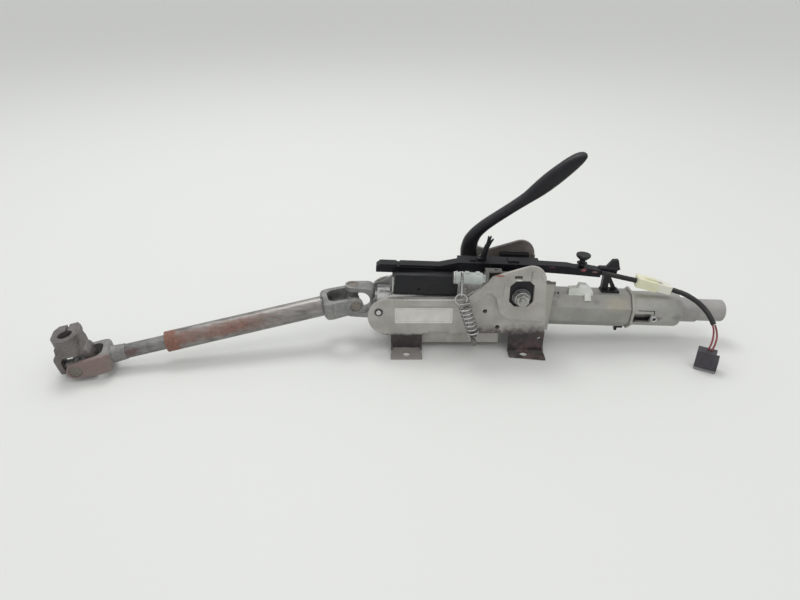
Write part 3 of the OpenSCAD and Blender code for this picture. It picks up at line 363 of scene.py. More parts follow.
def paintedSheet(name, **look):
    look = {**sheetBasics, **look}
    material, shader, coords, (dark, light, bare) = startFinish(name, look["tones"])
    grain = place("fineGrain", coords, Scale=look["grain"], Cloud=38.0)
    colour = blendColour(spread(grain["Cloud"], 0.3, 0.7), dark, light)
    wear = place("edgeWear", coords, Radius=0.0012, Scale=260.0, Amount=look["wear"])
    colour = blendColour(wear["Mask"], colour, bare)
    marks = place("scuffs", coords, Scale=160.0, Amount=look["scuffs"])
    colour = blendColour(marks["Mask"], colour, bare)
    dirt = place("rustBloom", coords, Scale=60.0, Coverage=look["stainCover"], Softness=0.1)
    stain, stainAmount = look["stain"]
    colour = blendColour(times(dirt["Mask"], stainAmount), colour, srgb(*stain))
    rough = spread(grain["Cloud"], 0.2, 0.8, *look["rough"])
    if "feet" in look:
        feet = look["feet"]
        foot = place("footRust", coords, Side=feet["side"], Top=feet["top"], Fade=feet["fade"], Floor=feet["floor"])
        patch = spread(noise(coords, 70.0, 6.0, 0.6), 0.42, 0.62)
        black, brown, red = [srgb(*c) for c in feet["tones"]]
        footColour = blendColour(times(foot["Low"], patch), blendColour(patch, black, brown), red)
        mask = times(foot["Mask"], 0.95)
        colour = blendColour(mask, colour, footColour)
        rough = plus(rough, times(mask, 0.1), True)
    colour = marked(coords, colour, look)
    dust = place("dustCover", coords, Amount=look["dust"])
    colour = blendColour(dust["Mask"], colour, srgb(*look["dustColour"]))
    shader.inputs["Metallic"].default_value = look["metal"]
    connect(shader, colour, rough, grain["Height"], look["bump"])
    return material


# bare metal: drawn or turned lines, patchy rust
metalBasics = {"stretch": (25.0, 700.0, 700.0), "grain": 700.0, "wear": 0.5, "rough": (0.28, 0.48), "metal": 0.85,
               "rustScale": 110.0, "rustSoft": 0.1, "rustTint": 0.0, "rustShade": (132, 104, 100), "patch": 55.0,
               "patchLow": 0.45, "zones": (), "dust": 0.1, "dustColour": (172, 166, 156), "bump": 0.00005}


def bareMetal(name, **look):
    look = {**metalBasics, **look}
    material, shader, coords, (dark, light, bare) = startFinish(name, look["tones"])
    lines = place("drawnLines", coords, Stretch=look["stretch"])["Value"]
    grain = place("fineGrain", coords, Scale=look["grain"], Cloud=45.0)
    tone = plus(times(lines, 0.5), times(grain["Cloud"], 0.5))
    colour = blendColour(spread(tone, 0.32, 0.68), dark, light)
    wear = place("edgeWear", coords, Radius=0.001, Scale=320.0, Amount=look["wear"])
    colour = blendColour(wear["Mask"], colour, bare)
    coverage, rustAmount = look["rust"]
    bloom = place("rustBloom", coords, Scale=look["rustScale"], Coverage=coverage, Softness=look["rustSoft"])
    mask = times(bloom["Mask"], rustAmount, True)
    patch = spread(noise(coords, look["patch"], 5.0), 0.34, 0.6, look["patchLow"], 1.0)
    for fades, amount in look["zones"]:
        mask = maths("MAXIMUM", mask, times(patch, fadeMask(coords, fades, amount)))
    rustColour = blendColour(look["rustTint"], bloom["Color"], srgb(*look["rustShade"]))
    colour = marked(coords, blendColour(mask, colour, rustColour), look)
    dust = place("dustCover", coords, Amount=look["dust"])
    colour = blendColour(dust["Mask"], colour, srgb(*look["dustColour"]))
    feed(shader.inputs["Metallic"], times(minus(1.0, mask), look["metal"], True))
    rough = plus(spread(tone, 0.3, 0.7, *look["rough"]), times(mask, 0.3), True)
    height = plus(times(grain["Height"], 0.6), times(times(bloom["Height"], mask), 0.8))
    connect(shader, colour, rough, height, look["bump"])
    return material


# moulded plastic with a fine spark-eroded grain
plasticBasics = {"grain": 1600.0, "wear": 0.35, "scuffs": 0.25, "rough": (0.42, 0.58), "shine": 0.5, "soft": 0.0,
                 "softScale": 0.003, "softRadius": (1.0, 0.9, 0.75), "dust": 0.22, "dustColour": (128, 124, 118),
                 "bump": 0.00008}


def mouldedPlastic(name, **look):
    look = {**plasticBasics, **look}
    material, shader, coords, (dark, light, rub) = startFinish(name, look["tones"])
    grain = place("fineGrain", coords, Scale=look["grain"], Cloud=55.0)
    colour = blendColour(spread(grain["Cloud"], 0.3, 0.7), dark, light)
    wear = place("edgeWear", coords, Radius=0.0007, Scale=240.0, Amount=look["wear"])
    colour = blendColour(wear["Mask"], colour, rub)
    marks = place("scuffs", coords, Scale=200.0, Amount=look["scuffs"])
    colour = marked(coords, blendColour(marks["Mask"], colour, rub), look)
    dust = place("dustCover", coords, Amount=look["dust"])
    colour = blendColour(dust["Mask"], colour, srgb(*look["dustColour"]))
    rough = plus(spread(grain["Cloud"], 0.2, 0.8, *look["rough"]), times(dust["Mask"], 0.5), True)
    shader.inputs["Specular IOR Level"].default_value = look["shine"]
    shader.inputs["Subsurface Weight"].default_value = look["soft"]
    shader.inputs["Subsurface Scale"].default_value = look["softScale"]
    shader.inputs["Subsurface Radius"].default_value = look["softRadius"]
    connect(shader, colour, rough, grain["Height"], look["bump"])
    return material


alongX, upward = (1.0, 0.0, 0.0), (0.0, 0.0, 1.0)
shaftAlong = (-0.96289, -0.23918, -0.12501)
shaftSide = (0.24214, -0.97020, -0.00888)
shaftFront = (0.14950, -0.85810, 0.49130)
evenGrain = (300.0, 300.0, 300.0)
bracketGrey = {"tones": ((160, 157, 151), (182, 179, 173), (208, 206, 201)), "stain": ((128, 116, 102), 0.25)}
# feet tones: near-black and brown, partly painted shade, and a rust red low down
cheekFeet = {"side": 0.031, "top": 0.043, "fade": 0.018, "floor": -0.01,
             "tones": ((46, 40, 40), (66, 55, 54), (98, 80, 78))}
channelFeet = {"side": 0.031, "top": 0.0275, "fade": 0.005, "floor": -0.01,
               "tones": ((42, 37, 39), (54, 47, 48), (66, 56, 56))}

# tones are dark, light and worn; rust is coverage and amount, stain is colour and amount
finishes = {
    "bracket_paint": paintedSheet(
        "bracketPaint", **bracketGrey, feet=channelFeet,
        tints=[([(upward, 0.0052, 0.0034)], (158, 153, 149), 0.85)],
        # painted highlight along the near wall's top edge, then a painted shadow line just above the label
        spots=[((-42, -33, 75.0), (58, 4, 1.1), (226, 224, 220), 0.8, 0.35),
               ((-50, -33, 65.2), (46, 3, 0.9), (126, 119, 113), 0.6, 0.3)]),
    "near_cheek": paintedSheet(
        "nearCheekPaint", **bracketGrey, feet=cheekFeet,
        spots=[((36.5, -41, 111.6), (8, 6, 1.9), (150, 66, 60), 0.75, 0.6),
               ((61, -40.5, 103.6), (5.2, 3, 3.2), (236, 235, 230), 1.0, 0.05),
               ((9, -50, 26), (9, 9.5, 9), (136, 133, 127), 1.0, 0.05)]),
    # far cheek: brownish paint, darkened further as painted shade on its inner face; its strong edge wear is partly a
    # painted highlight along the rim
    "far_cheek": paintedSheet(
        "farCheekPaint", tones=((106, 99, 95), (136, 128, 123), (182, 177, 172)), wear=0.8,
        stain=((84, 66, 56), 0.5), feet=cheekFeet, metal=0.25),
    "column_paint": paintedSheet(
        "columnPaint", tones=((152, 150, 143), (172, 170, 163), (205, 204, 199)), stain=((128, 118, 104), 0.22)),
    "jacket_paint": paintedSheet(
        "jacketPaint", tones=((142, 141, 136), (160, 159, 154), (200, 199, 195)), stain=((128, 118, 104), 0.22),
        spots=[((193, -19, 60), (20, 14, 12), (178, 168, 146), 0.5, 0.6),
               ((112, -19, 62), (7, 10, 6), (112, 108, 102), 0.5, 0.7),
               ((167, -19, 63), (6, 10, 4), (116, 112, 106), 0.45, 0.7)]),
    "rail_paint": paintedSheet(
        "railPaint", tones=((146, 144, 138), (168, 166, 160), (205, 204, 199)), stain=((124, 116, 104), 0.3),
        # dark marks: painted shade in the gaps between the rail's teeth
        spots=[((109.6 + 4 * i, -15, 75.2), (1.3, 3, 2.8), (66, 64, 62), 0.85, 0.15) for i in range(3)]),
    "housing_paint": paintedSheet(
        "housingPaint", tones=((156, 155, 150), (176, 175, 170), (208, 207, 203)), stain=((126, 118, 106), 0.25),
        spots=[((217, -19, 38), (9, 12, 6), (70, 67, 64), 0.8, 0.6),
               ((249, -19, 41), (8, 12, 4), (92, 89, 85), 0.6, 0.8),
               ((272, -17, 42), (10, 12, 8), (118, 116, 112), 0.6, 0.5)]),
    "wheel_end": paintedSheet(
        "wheelEndPaint", tones=((150, 148, 145), (170, 168, 165), (198, 196, 193)), stain=((132, 126, 118), 0.2),
        metal=0.25, wear=0.4),
    # pivot pins: near-black, partly their dark steel and partly painted shade, so a dark ring shows round the bright
    # rivet heads
    "rivet_steel": bareMetal(
        "rivetSteel", tones=((50, 47, 45), (76, 72, 69), (104, 100, 96)), rust=(0.25, 0.4), metal=0.5,
        stretch=evenGrain),
    "zinc": bareMetal(
        "zincPlate", tones=((150, 150, 146), (200, 200, 196), (225, 225, 222)), rust=(0.22, 0.3), metal=0.8,
        stretch=(120.0, 500.0, 500.0)),
    # bearing cup: its top is painted dark as a reflection of the black parts above it, and the white spot is a painted
    # glint
    "seat_zinc": bareMetal(
        "seatZinc", tones=((138, 138, 137), (196, 196, 194), (225, 225, 222)), rust=(0.22, 0.3), metal=0.8,
        stretch=(120.0, 500.0, 500.0), tints=[([(upward, 0.070, 0.079)], (82, 81, 82), 0.85)],
        spots=[((-108.6, -10.5, 80.2), (2.6, 3, 2.6), (240, 240, 238), 1.0, 0.1)]),
    # swing plates: past 8-14 mm along x they go dark grey, partly the ear bracket's darker paint and partly painted
    # shade, then light grey again at the end plate; the dark spot is a painted shadow in the gap above the channel wall
    "swing_steel": bareMetal(
        "swingSteel", tones=((158, 158, 155), (206, 206, 203), (228, 228, 226)), rust=(0.2, 0.25), metal=0.7,
        stretch=(40.0, 500.0, 500.0),
        tints=[([(alongX, 0.008, 0.014)], (92, 90, 86), 0.85), ([(alongX, 0.092, 0.098)], (168, 166, 160), 0.95)],
        spots=[((-42, -29, 78.2), (56, 6, 1.5), (38, 36, 36), 0.8, 0.3)]),
    "washer_steel": bareMetal(
        "washerSteel", tones=((78, 78, 81), (116, 116, 119), (190, 190, 191)), wear=1.6, rust=(0.2, 0.3), metal=0.7,
        stretch=(300.0, 60.0, 300.0)),
    # painted shade: the far side of the coils is darkened
    "spring_wire": bareMetal(
        "springWire", tones=((166, 166, 165), (204, 204, 202), (226, 226, 224)), dust=0.02, rust=(0.14, 0.3),
        metal=0.8, wear=0.0, rough=(0.22, 0.34), tints=[([((0.0, 1.0, 0.0), -0.0485, -0.043)], (84, 82, 79), 0.75)]),
    "bearing_steel": bareMetal(
        "bearingSteel", tones=((170, 170, 172), (215, 215, 216), (230, 230, 230)), rust=(0.2, 0.2), rough=(0.15, 0.3)),
    "joint_steel": bareMetal(
        "jointSteel", tones=((120, 120, 118), (154, 154, 151), (200, 199, 197)), wear=0.7, rust=(0.22, 0.35),
        metal=0.55, grain=420.0, bump=0.0001, rough=(0.32, 0.48), stretch=evenGrain,
        # the dark spot is painted shade in the tube yoke's pocket
        spots=[((-166, 5, 57), (17, 12, 11), (58, 56, 56), 0.85, 0.2)]),
    "cup_steel": bareMetal(
        "cupSteel", tones=((104, 98, 92), (138, 131, 124), (52, 47, 45)), wear=5.0, rust=(0.2, 0.25), metal=0.35,
        grain=420.0, stretch=evenGrain),
    "fork_steel": bareMetal(
        "forkSteel", tones=((120, 119, 117), (152, 151, 149), (200, 198, 195)), wear=0.7, rust=(0.26, 0.4), metal=0.5,
        grain=420.0, bump=0.00014, rustTint=0.7, rough=(0.4, 0.6), stretch=evenGrain, rustShade=(138, 116, 113),
        zones=[([(shaftSide, -0.0255, -0.0185)], 0.75)]),
    "clamp_steel": bareMetal(
        "clampSteel", tones=((94, 89, 86), (128, 122, 119), (174, 169, 166)), rust=(0.26, 0.35), metal=0.4,
        grain=420.0, bump=0.0002, rustTint=0.4, rough=(0.42, 0.6), stretch=evenGrain),
    "shaft_steel": bareMetal(
        "shaftSteel", tones=((104, 103, 102), (146, 145, 143), (190, 189, 187)), rust=(0.2, 0.4), metal=0.6,
        stretch=(90.0, 420.0, 420.0), rough=(0.36, 0.54),
        spots=[((-412, -75.5, 25), (15, 9, 6), (104, 78, 74), 0.7, 0.8, 220.0),
               ((-428, -79, 21), (16, 9, 7), (126, 108, 106), 0.5, 0.7)]),
    "rusty_tube": bareMetal(
        "rustyTube", tones=((112, 108, 104), (160, 158, 155), (200, 197, 193)), rust=(0.26, 0.4), metal=0.6,
        stretch=(30.0, 260.0, 260.0), rough=(0.3, 0.46), rustTint=0.4, rustShade=(142, 98, 84), patch=38.0,
        # the tint is painted shade that turns the tube's underside olive-grey; the zones are rust
        patchLow=0.55, dust=0.04, tints=[([(shaftFront, 0.0105, 0.0025)], (116, 113, 103), 0.5)],
        zones=[([(shaftAlong, 0.35, 0.358)], 1.2),
               ([(shaftFront, 0.0150, 0.0200), (shaftAlong, 0.20, 0.29)], 0.85)]),
    "spindle_steel": bareMetal(
        "spindleSteel", tones=((150, 148, 144), (190, 188, 184), (215, 213, 210)), rust=(0.24, 0.3), metal=0.75,
        stretch=(800.0, 60.0, 60.0)),
    "black_plastic": mouldedPlastic(
        "blackPlastic", tones=((17, 17, 21), (26, 26, 31), (70, 70, 74)), dust=0.06, shine=0.36,
        dustColour=(92, 90, 88), rough=(0.36, 0.5)),
    "duct_plastic": mouldedPlastic(
        "ductPlastic", tones=((14, 14, 19), (22, 22, 28), (64, 64, 70)), dust=0.03, shine=0.22,
        dustColour=(84, 82, 82), rough=(0.34, 0.48),
        spots=[((107.7, -8, 107.6), (4.2, 3, 1.3), (150, 88, 94), 0.4, 1.1, 800.0),
               ((147.4, -8, 103.4), (4.6, 3, 2.4), (200, 112, 124), 0.55, 1.1, 800.0),
               ((161.8, -8, 100.8), (4.6, 3, 1.5), (176, 130, 128), 0.45, 1.1, 800.0)]),
    "sheath": mouldedPlastic(
        "clothTape", tones=((22, 22, 24), (40, 40, 43), (70, 70, 72)), rough=(0.6, 0.8)),
    "lead": mouldedPlastic(
        "redLead", tones=((122, 52, 61), (156, 78, 86), (178, 108, 112)), dust=0.1, bump=0.00002),
    "plug_plastic": mouldedPlastic(
        "plugPlastic", tones=((52, 49, 55), (70, 66, 73), (110, 108, 112)),
        # painted reflection: the plug's lowest few millimetres are pale grey
        tints=[([(upward, 0.0040, 0.0022)], (150, 148, 150), 0.85)]),
    "connector_plastic": mouldedPlastic(
        "connectorPlastic", tones=((222, 221, 190), (236, 235, 208), (244, 243, 224)), soft=0.2, dust=0.15,
        dustColour=(190, 186, 160), rough=(0.3, 0.42), tints=[([(alongX, 0.240, 0.246)], (228, 227, 217), 0.8)]),
    "milk_plastic": mouldedPlastic(
        "milkPlastic", tones=((206, 208, 200), (226, 228, 222), (238, 239, 234)), soft=0.3, dust=0.15,
        dustColour=(186, 184, 174), rough=(0.3, 0.42)),
    "sage_plastic": mouldedPlastic(
        "sagePlastic", tones=((160, 166, 161), (182, 188, 183), (200, 204, 200)), dustColour=(150, 148, 140)),
}
# nodes whose finish isn't that of their slot
finishOf = {
    "cheek_near": "near_cheek", "cheek_far": "far_cheek", "bearing_cup": "seat_zinc", "guide_rail": "rail_paint",
    "upper_spindle": "wheel_end", "swing_plates": "swing_steel", "clamp_washers": "washer_steel",
    "spindle_cups": "cup_steel", "tube_cups": "cup_steel", "fork_cups": "cup_steel", "pinch_cups": "cup_steel",
    "cable_duct": "duct_plastic", "lock_housing": "housing_paint", "jacket_tube": "jacket_paint",
    "inline_connector": "connector_plastic", "pivot_pins": "rivet_steel", "shaft_fork": "fork_steel",
    "pinch_yoke": "clamp_steel", "lower_shaft": "shaft_steel",
}
print("finishes:", len(finishes))


# soft-edged copies of the rigid nodes, with the same form and real rounded edges

edges = {
    "default": 0.0006,
    "bracket_channel": 0.0009, "cheek_near": 0.0012, "cheek_far": 0.0012,
    "spindle_yoke": 0.0012, "tube_yoke": 0.0012, "shaft_fork": 0.0012, "pinch_yoke": 0.0013,
    "cable_duct": 0.0008, "lock_housing": 0.0009, "jacket_tube": 0.0012, "guide_tube": 0.0008,
    "inline_connector": 0.0008, "plug": 0.0009, "top_clip": 0.0008,
}
softEdge = {"from": 32, "segments": 2, "sharp": 42, "weld": 1e-6, "flat": 0.6}
# the far pad stands a little higher than the near one
raised = {"friction_pads": (50, 6)}
# drawn again further down
redrawn = {"side_shield", "clamp_nut", "prong_clip", "balance_spring", "spring_link", "harness_cable", "plug_wire_a",
           "plug_wire_b", "lever_grip"}
# hidden or round enough as they are
asBuilt = {"front_bearing_balls", "upper_bearing_balls", "front_bearing_outer", "front_bearing_inner",
           "upper_bearing_outer", "upper_bearing_inner", "guide_liners", "slide_sleeve", "lower_cross", "upper_cross"}


def pieceName(node):
    words = node.split("_") if "_" in node else [node, "body"]
    return words[0] + "".join(w.capitalize() for w in words[1:])


def settle(piece):
    bpy.context.view_layer.update()
    graph = bpy.context.evaluated_depsgraph_get()
    done = bpy.data.meshes.new_from_object(piece.evaluated_get(graph))
    piece.modifiers.clear()
    piece.data = done


def coat(piece, finish):
    piece.data.materials.clear()
    piece.data.materials.append(finishes[finish])


def dress(piece, finish, body, slotName, *replaced):
    coat(piece, finish)
    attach(piece, body)
    if replaced:
        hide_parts(*replaced)


def smooth(mesh, sharp):
    for face in mesh.polygons:
        face.use_smooth = True
    mesh.set_sharp_from_angle(angle=math.radians(sharp))


def soften(piece, width):
    bevel = piece.modifiers.new("edges", "BEVEL")
    bevel.limit_method = "ANGLE"
    bevel.angle_limit = math.radians(softEdge["from"])
    bevel.width = width
    bevel.segments = softEdge["segments"]
    settle(piece)
    smooth(piece.data, softEdge["sharp"])


def pieceFrom(work, name):
    mesh = bpy.data.meshes.new(name)
    work.to_mesh(mesh)
    work.free()
    return added(name, mesh)


def softened(node):
    work = bmesh.new()
    work.from_mesh(nodes[node].data)
    bmesh.ops.remove_doubles(work, verts=work.verts, dist=softEdge["weld"])
    if node in raised:
        above, lift = raised[node]
        for v in work.verts:
            if v.co.y > 0 and (v.co - pivot).dot(columnZ) > above / 1000:
                v.co += columnZ * (lift / 1000)
    bmesh.ops.dissolve_limit(work, angle_limit=math.radians(softEdge["flat"]), verts=work.verts, edges=work.edges)
    piece = pieceFrom(work, pieceName(node))
    soften(piece, edges.get(node, edges["default"]))
    piece.modifiers.new("normals", "WEIGHTED_NORMAL").keep_sharp = True
    settle(piece)
    dress(piece, finishOf.get(node, slotOf[node]), bodyOf[node], slotOf[node], node)
    return piece


for node in sorted(nodes):
    if node in redrawn or node in asBuilt:
        coat(nodes[node], slotOf[node])
    else:
        softened(node)


# swept and turned forms

def flow(points, steps):
    pts = [Vector(p) for p in points]
    ends = [pts[0] * 2 - pts[1]] + pts + [pts[-1] * 2 - pts[-2]]
    line = []
    for i in range(1, len(ends) - 2):
        a, b, c, d = ends[i - 1:i + 3]
        for k in range(steps):
            u = k / steps
            line.append(0.5 * ((2 * b) + (c - a) * u + (2 * a - 5 * b + 4 * c - d) * u * u
                               + (3 * b - a - 3 * c + d) * u ** 3))
    return line + [pts[-1]]


def runLength(points):
    return sum((b - a).length for a, b in zip(points, points[1:]))


def angles(start, step, count):
    return [math.radians(start + step * i) for i in range(count)]


def around(count):
    return [2 * math.pi * k / count for k in range(count)]


# quads between rings of points; a closed row also joins the last ring to the first
def ringFaces(rows, sides, closed=False):
    faces = []
    for i in range(rows if closed else rows - 1):
        below, above = i * sides, (i + 1) % rows * sides
        for k in range(sides):
            n = (k + 1) % sides
            faces.append((below + k, below + n, above + n, above + k))
    return faces


def carriedFrames(points, up):
    found = []
    side = Vector(up)
    for i in range(len(points)):
        along = (points[min(i + 1, len(points) - 1)] - points[max(i - 1, 0)]).normalized()
        side = (side - along * side.dot(along)).normalized()
        found.append((side.copy(), along.cross(side)))
    return found


def tubeMesh(name, points, sides, radiusAt, up=(0, 1, 0)):
    verts = []
    travelled = 0.0
    for i, (p, (u, w)) in enumerate(zip(points, carriedFrames(points, up))):
        if i:
            travelled += (p - points[i - 1]).length
        verts += [p + (u * math.cos(a) + w * math.sin(a)) * radiusAt(travelled, a) for a in around(sides)]
    faces = ringFaces(len(points), sides)
    faces.append(tuple(reversed(range(sides))))
    faces.append(tuple(range((len(points) - 1) * sides, len(points) * sides)))
    piece = meshPiece(name, verts, faces)
    for face in piece.data.polygons:
        face.use_smooth = len(face.vertices) == 4
    return piece


def wireMesh(name, points, sides, diameter, up=(0, 1, 0)):
    return tubeMesh(name, points, sides, lambda travelled, angle: diameter / 2, up)


# a ring turned about y: rows of (y, radius), where a radius may change with the angle
def turnedRing(name, profile, sides, spotAt, sharp):
    verts = []
    for y, radius in profile:
        for a in around(sides):
            r = radius(a) if callable(radius) else radius
            verts.append(spotAt(r * math.cos(a), y, r * math.sin(a)))
    piece = meshPiece(name, verts, ringFaces(len(profile), sides, True))
    smooth(piece.data, sharp)
    return piece


# harness: taped cable through the inline connector, two leads down to the plug

harness = {
    "diameter": 0.0065, "sides": 20, "steps": 12, "tapePitch": 0.0085, "tapeStep": 0.045,
    "leadDiameter": 0.0022, "leadSides": 12, "leadSteps": 8,
    "route": [(279, -4.5, 51.6), (287, -4.5, 50), (296, -4.4, 48.15), (305, -4.3, 46.3), (314, -4.2, 44.45),
              (320, -4.1, 43.2), (325, -4, 42.2), (371, -8, 32.8), (378, -11, 32), (384.5, -17, 32), (390, -25.5, 31.5),
              (396, -35, 29.5), (401.5, -44, 25.5), (405.5, -52, 20.5), (408.9, -60, 13.5)],
    "leadA": [(407.5, -60.7, 12.8), (408, -65, 8.6), (407.5, -69.5, 1.5), (406.2, -72.4, -6.5), (404.5, -73, -15.4)],
    "leadB": [(410.4, -60.4, 13.1), (411.4, -65.4, 8.2), (411.6, -70.4, 1), (410, -73.8, -7), (407.8, -75, -15.4)],
}


def makeHarness():
    line = flow([onColumn(*p) for p in harness["route"]], harness["steps"])

    def taped(travelled, angle):
        turn = (travelled / harness["tapePitch"] + angle / (2 * math.pi)) % 1.0
        return harness["diameter"] / 2 * (1.0 - harness["tapeStep"] * turn)

    cable = tubeMesh("tapedCable", line, harness["sides"], taped)
    dress(cable, "sheath", "jacket", "sheath", "harness_cable")
    for name, node in (("leadA", "plug_wire_a"), ("leadB", "plug_wire_b")):
        way = flow([onColumn(*p) for p in harness[name]], harness["leadSteps"])
        lead = wireMesh(name, way, harness["leadSides"], harness["leadDiameter"], (1, 0, 0))
        dress(lead, "lead", "jacket", "lead", node)


makeHarness()
print("harness laid")


# balance spring, and the wire link that holds its eye

spring = {
    "wire": 0.0021, "outside": 16.0, "turns": 7.5, "stepsPerTurn": 28, "sides": 10, "y": -48.6,
    "peg": (9, 26), "pegRing": 3.9, "coilAbovePeg": (0, 0, 8), "eyeRadius": 7.2, "eyeDrop": 24.8,
    "coilBelowEye": (4, 0, -8), "hanger": (99, -40, 55.5), "groove": 10.0,
    "linkPlay": 0.00015, "linkBend": 0.00325, "eyePlay": 0.0002, "linkShift": 0.00025,
    # arcs as start, step (degrees) and count
    "eyeArc": (-30, 12, 26), "pegArc": (150, 15, 21), "linkArcs": ((-10, -10, 9), (180, 15, 13), (126, -9, 13)),
}


def springLine(eye, pegAt):
    s = spring
    top = eye + mm(*s["coilBelowEye"])
    axis = top - (pegAt + mm(*s["coilAbovePeg"]))
    u = axis.normalized()
    v = Vector((0, 1, 0)).cross(u).normalized()
    w = u.cross(v)
    coilRadius = (s["outside"] / 1000 - s["wire"]) / 2
    line = [eye + Vector((math.cos(a), 0, math.sin(a))) * (s["eyeRadius"] / 1000) for a in angles(*s["eyeArc"])]
    count = int(s["turns"] * s["stepsPerTurn"])
    for i in range(count + 1):
        a = 2 * math.pi * i / s["stepsPerTurn"]
        line.append(top - axis * (i / count) + (v * math.cos(a) + w * math.sin(a)) * coilRadius)
    line += [pegAt + Vector((math.cos(a), 0, math.sin(a))) * (s["pegRing"] / 1000) for a in angles(*s["pegArc"])]
    return line


def linkLine(eye, hanger):
    reach = (spring["groove"] / 1000 + spring["wire"]) / 2 + spring["linkPlay"]
    bend = spring["linkBend"]
    low = eye.z + spring["eyeRadius"] / 1000 - spring["wire"] - spring["eyePlay"] + bend
    middle = spring["y"] / 1000 + spring["linkShift"]
    down, under, back = spring["linkArcs"]

    def overSleeve(arc):
        return [hanger + Vector((0, math.sin(a), math.cos(a))) * reach for a in angles(*arc)]

    throughEye = [Vector((hanger.x, middle + bend * math.cos(a), low + bend * math.sin(a))) for a in angles(*under)]
    return overSleeve(down) + throughEye + overSleeve(back)


def makeSpring():
    hanger = onColumn(*spring["hanger"])
    eye = Vector((hanger.x, spring["y"] / 1000, hanger.z - spring["eyeDrop"] / 1000))
    pegAt = mm(spring["peg"][0], spring["y"], spring["peg"][1])
    wire = wireMesh("balanceSpring", springLine(eye, pegAt), spring["sides"], spring["wire"])
    coat(wire, "spring_wire")
    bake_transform(wire)
    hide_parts("balance_spring")
    link = wireMesh("springLink", linkLine(eye, hanger), spring["sides"], spring["wire"], (1, 0, 0))
    dress(link, "spring_wire", "swing_arm", "spring_wire", "spring_link")


makeSpring()
print("spring wound")


# lever grip: a smooth moulded bar with a flattened oval section

grip = {
    "y": 54, "halfWidth": 9.0, "sides": 36, "steps": 6, "squareness": 0.82,
    "tip": 0.0012, "tipRun": 1.6, "tipNarrow": 0.55, "tipLeast": 0.1,
    # x, z and half height
    "path": [(10, 97, 12), (9.6, 106, 11.5), (10.8, 116, 10), (15, 124.5, 8.6), (19.5, 130.5, 7.6), (28, 138.7, 6.9),
             (38, 146.4, 6.6), (52, 156.4, 6.4), (66, 166.3, 6.5), (80, 176.5, 7.3), (90, 184.6, 9), (99, 192.4, 10.2),
             (109, 201.2, 10.7), (119.5, 210.3, 10.4), (131, 220.3, 9.4), (140, 227.6, 7.4), (145.5, 231.6, 4.6),
             (148, 233.4, 2.2)],
}


def makeGrip():
    line = flow([mm(x, grip["y"], z) for x, z, h in grip["path"]], grip["steps"])
    heights = [p.x for p in flow([mm(h, 0, 0) for x, z, h in grip["path"]], grip["steps"])]
    n = grip["sides"]
    last = len(line) - 1

    def rounded(c):
        return math.copysign(abs(c) ** grip["squareness"], c)

    verts = []
    for i, p in enumerate(line):
        along = (line[min(i + 1, last)] - line[max(i - 1, 0)]).normalized()
        up = Vector((-along.z, 0, along.x))
        left = max(0.0, 1 - (last - i) / (grip["tipRun"] * grip["steps"]))
        narrow = math.sqrt(max(grip["tipLeast"], 1 - grip["tipNarrow"] * left * left))
        verts += [p + up * (heights[i] * rounded(math.cos(a)))
                  + Vector((0, narrow * grip["halfWidth"] / 1000 * rounded(math.sin(a)), 0)) for a in around(n)]
    faces = ringFaces(len(line), n)
    tip, root = len(verts), len(verts) + 1
    verts += [line[-1] + (line[-1] - line[-2]).normalized() * grip["tip"], line[0]]
    for k in range(n):
        faces.append((last * n + k, last * n + (k + 1) % n, tip))
        faces.append(((k + 1) % n, k, root))
    bar = meshPiece("leverGrip", verts, faces)
    for face in bar.data.polygons:
        face.use_smooth = root not in face.vertices
    dress(bar, "black_plastic", "lever", "black_plastic", "lever_grip")


makeGrip()
print("grip moulded")


# side shield: a thin wall with a top flange that reaches in under the cable duct

shield = {
    "x": (18.8, 97.0), "low": 14.0, "top": 50.4, "outY": -27.3, "wall": 2.0, "hole": (49, 31), "holeRadius": 2.0,
    "holeSides": 20, "round": 3.0, "edge": 0.0005, "flat": 0.5, "flangeY": -13.8, "rise": 2.6, "inset": 0.6,
    "flangePast": (3.5, 2), "flangeBelow": (3.4, 1.6),
}
boxFaces = [(3, 2, 1, 0), (4, 5, 6, 7), (0, 1, 5, 4), (1, 2, 6, 5), (2, 3, 7, 6), (3, 0, 4, 7)]


def thicken(work, faces, by):
    grown = bmesh.ops.extrude_face_region(work, geom=faces)
    bmesh.ops.translate(work, verts=[v for v in grown["geom"] if isinstance(v, bmesh.types.BMVert)], vec=by)
    bmesh.ops.recalc_face_normals(work, faces=work.faces)


def plateWithHole(name, outline, hole, thickness, spotAt):
    work = bmesh.new()
    borders = []
    for loop in (outline, hole):
        verts = [work.verts.new(spotAt(a, b)) for a, b in loop]
        borders += [work.edges.new((verts[i], verts[(i + 1) % len(verts)])) for i in range(len(verts))]
    bmesh.ops.triangle_fill(work, edges=borders, use_beauty=True)
    thicken(work, work.faces[:], thickness)
    bmesh.ops.dissolve_limit(work, angle_limit=math.radians(shield["flat"]), verts=work.verts, edges=work.edges)
    return pieceFrom(work, name)


def cornered(x0, x1, z0, z1, r, steps=5):
    found = []
    for cx, cz, start in ((x1 - r, z1 - r, 0), (x0 + r, z1 - r, 90), (x0 + r, z0 + r, 180), (x1 - r, z0 + r, 270)):
        found += [(cx + r * math.cos(a), cz + r * math.sin(a)) for a in angles(start, 90 / steps, steps + 1)]
    return found


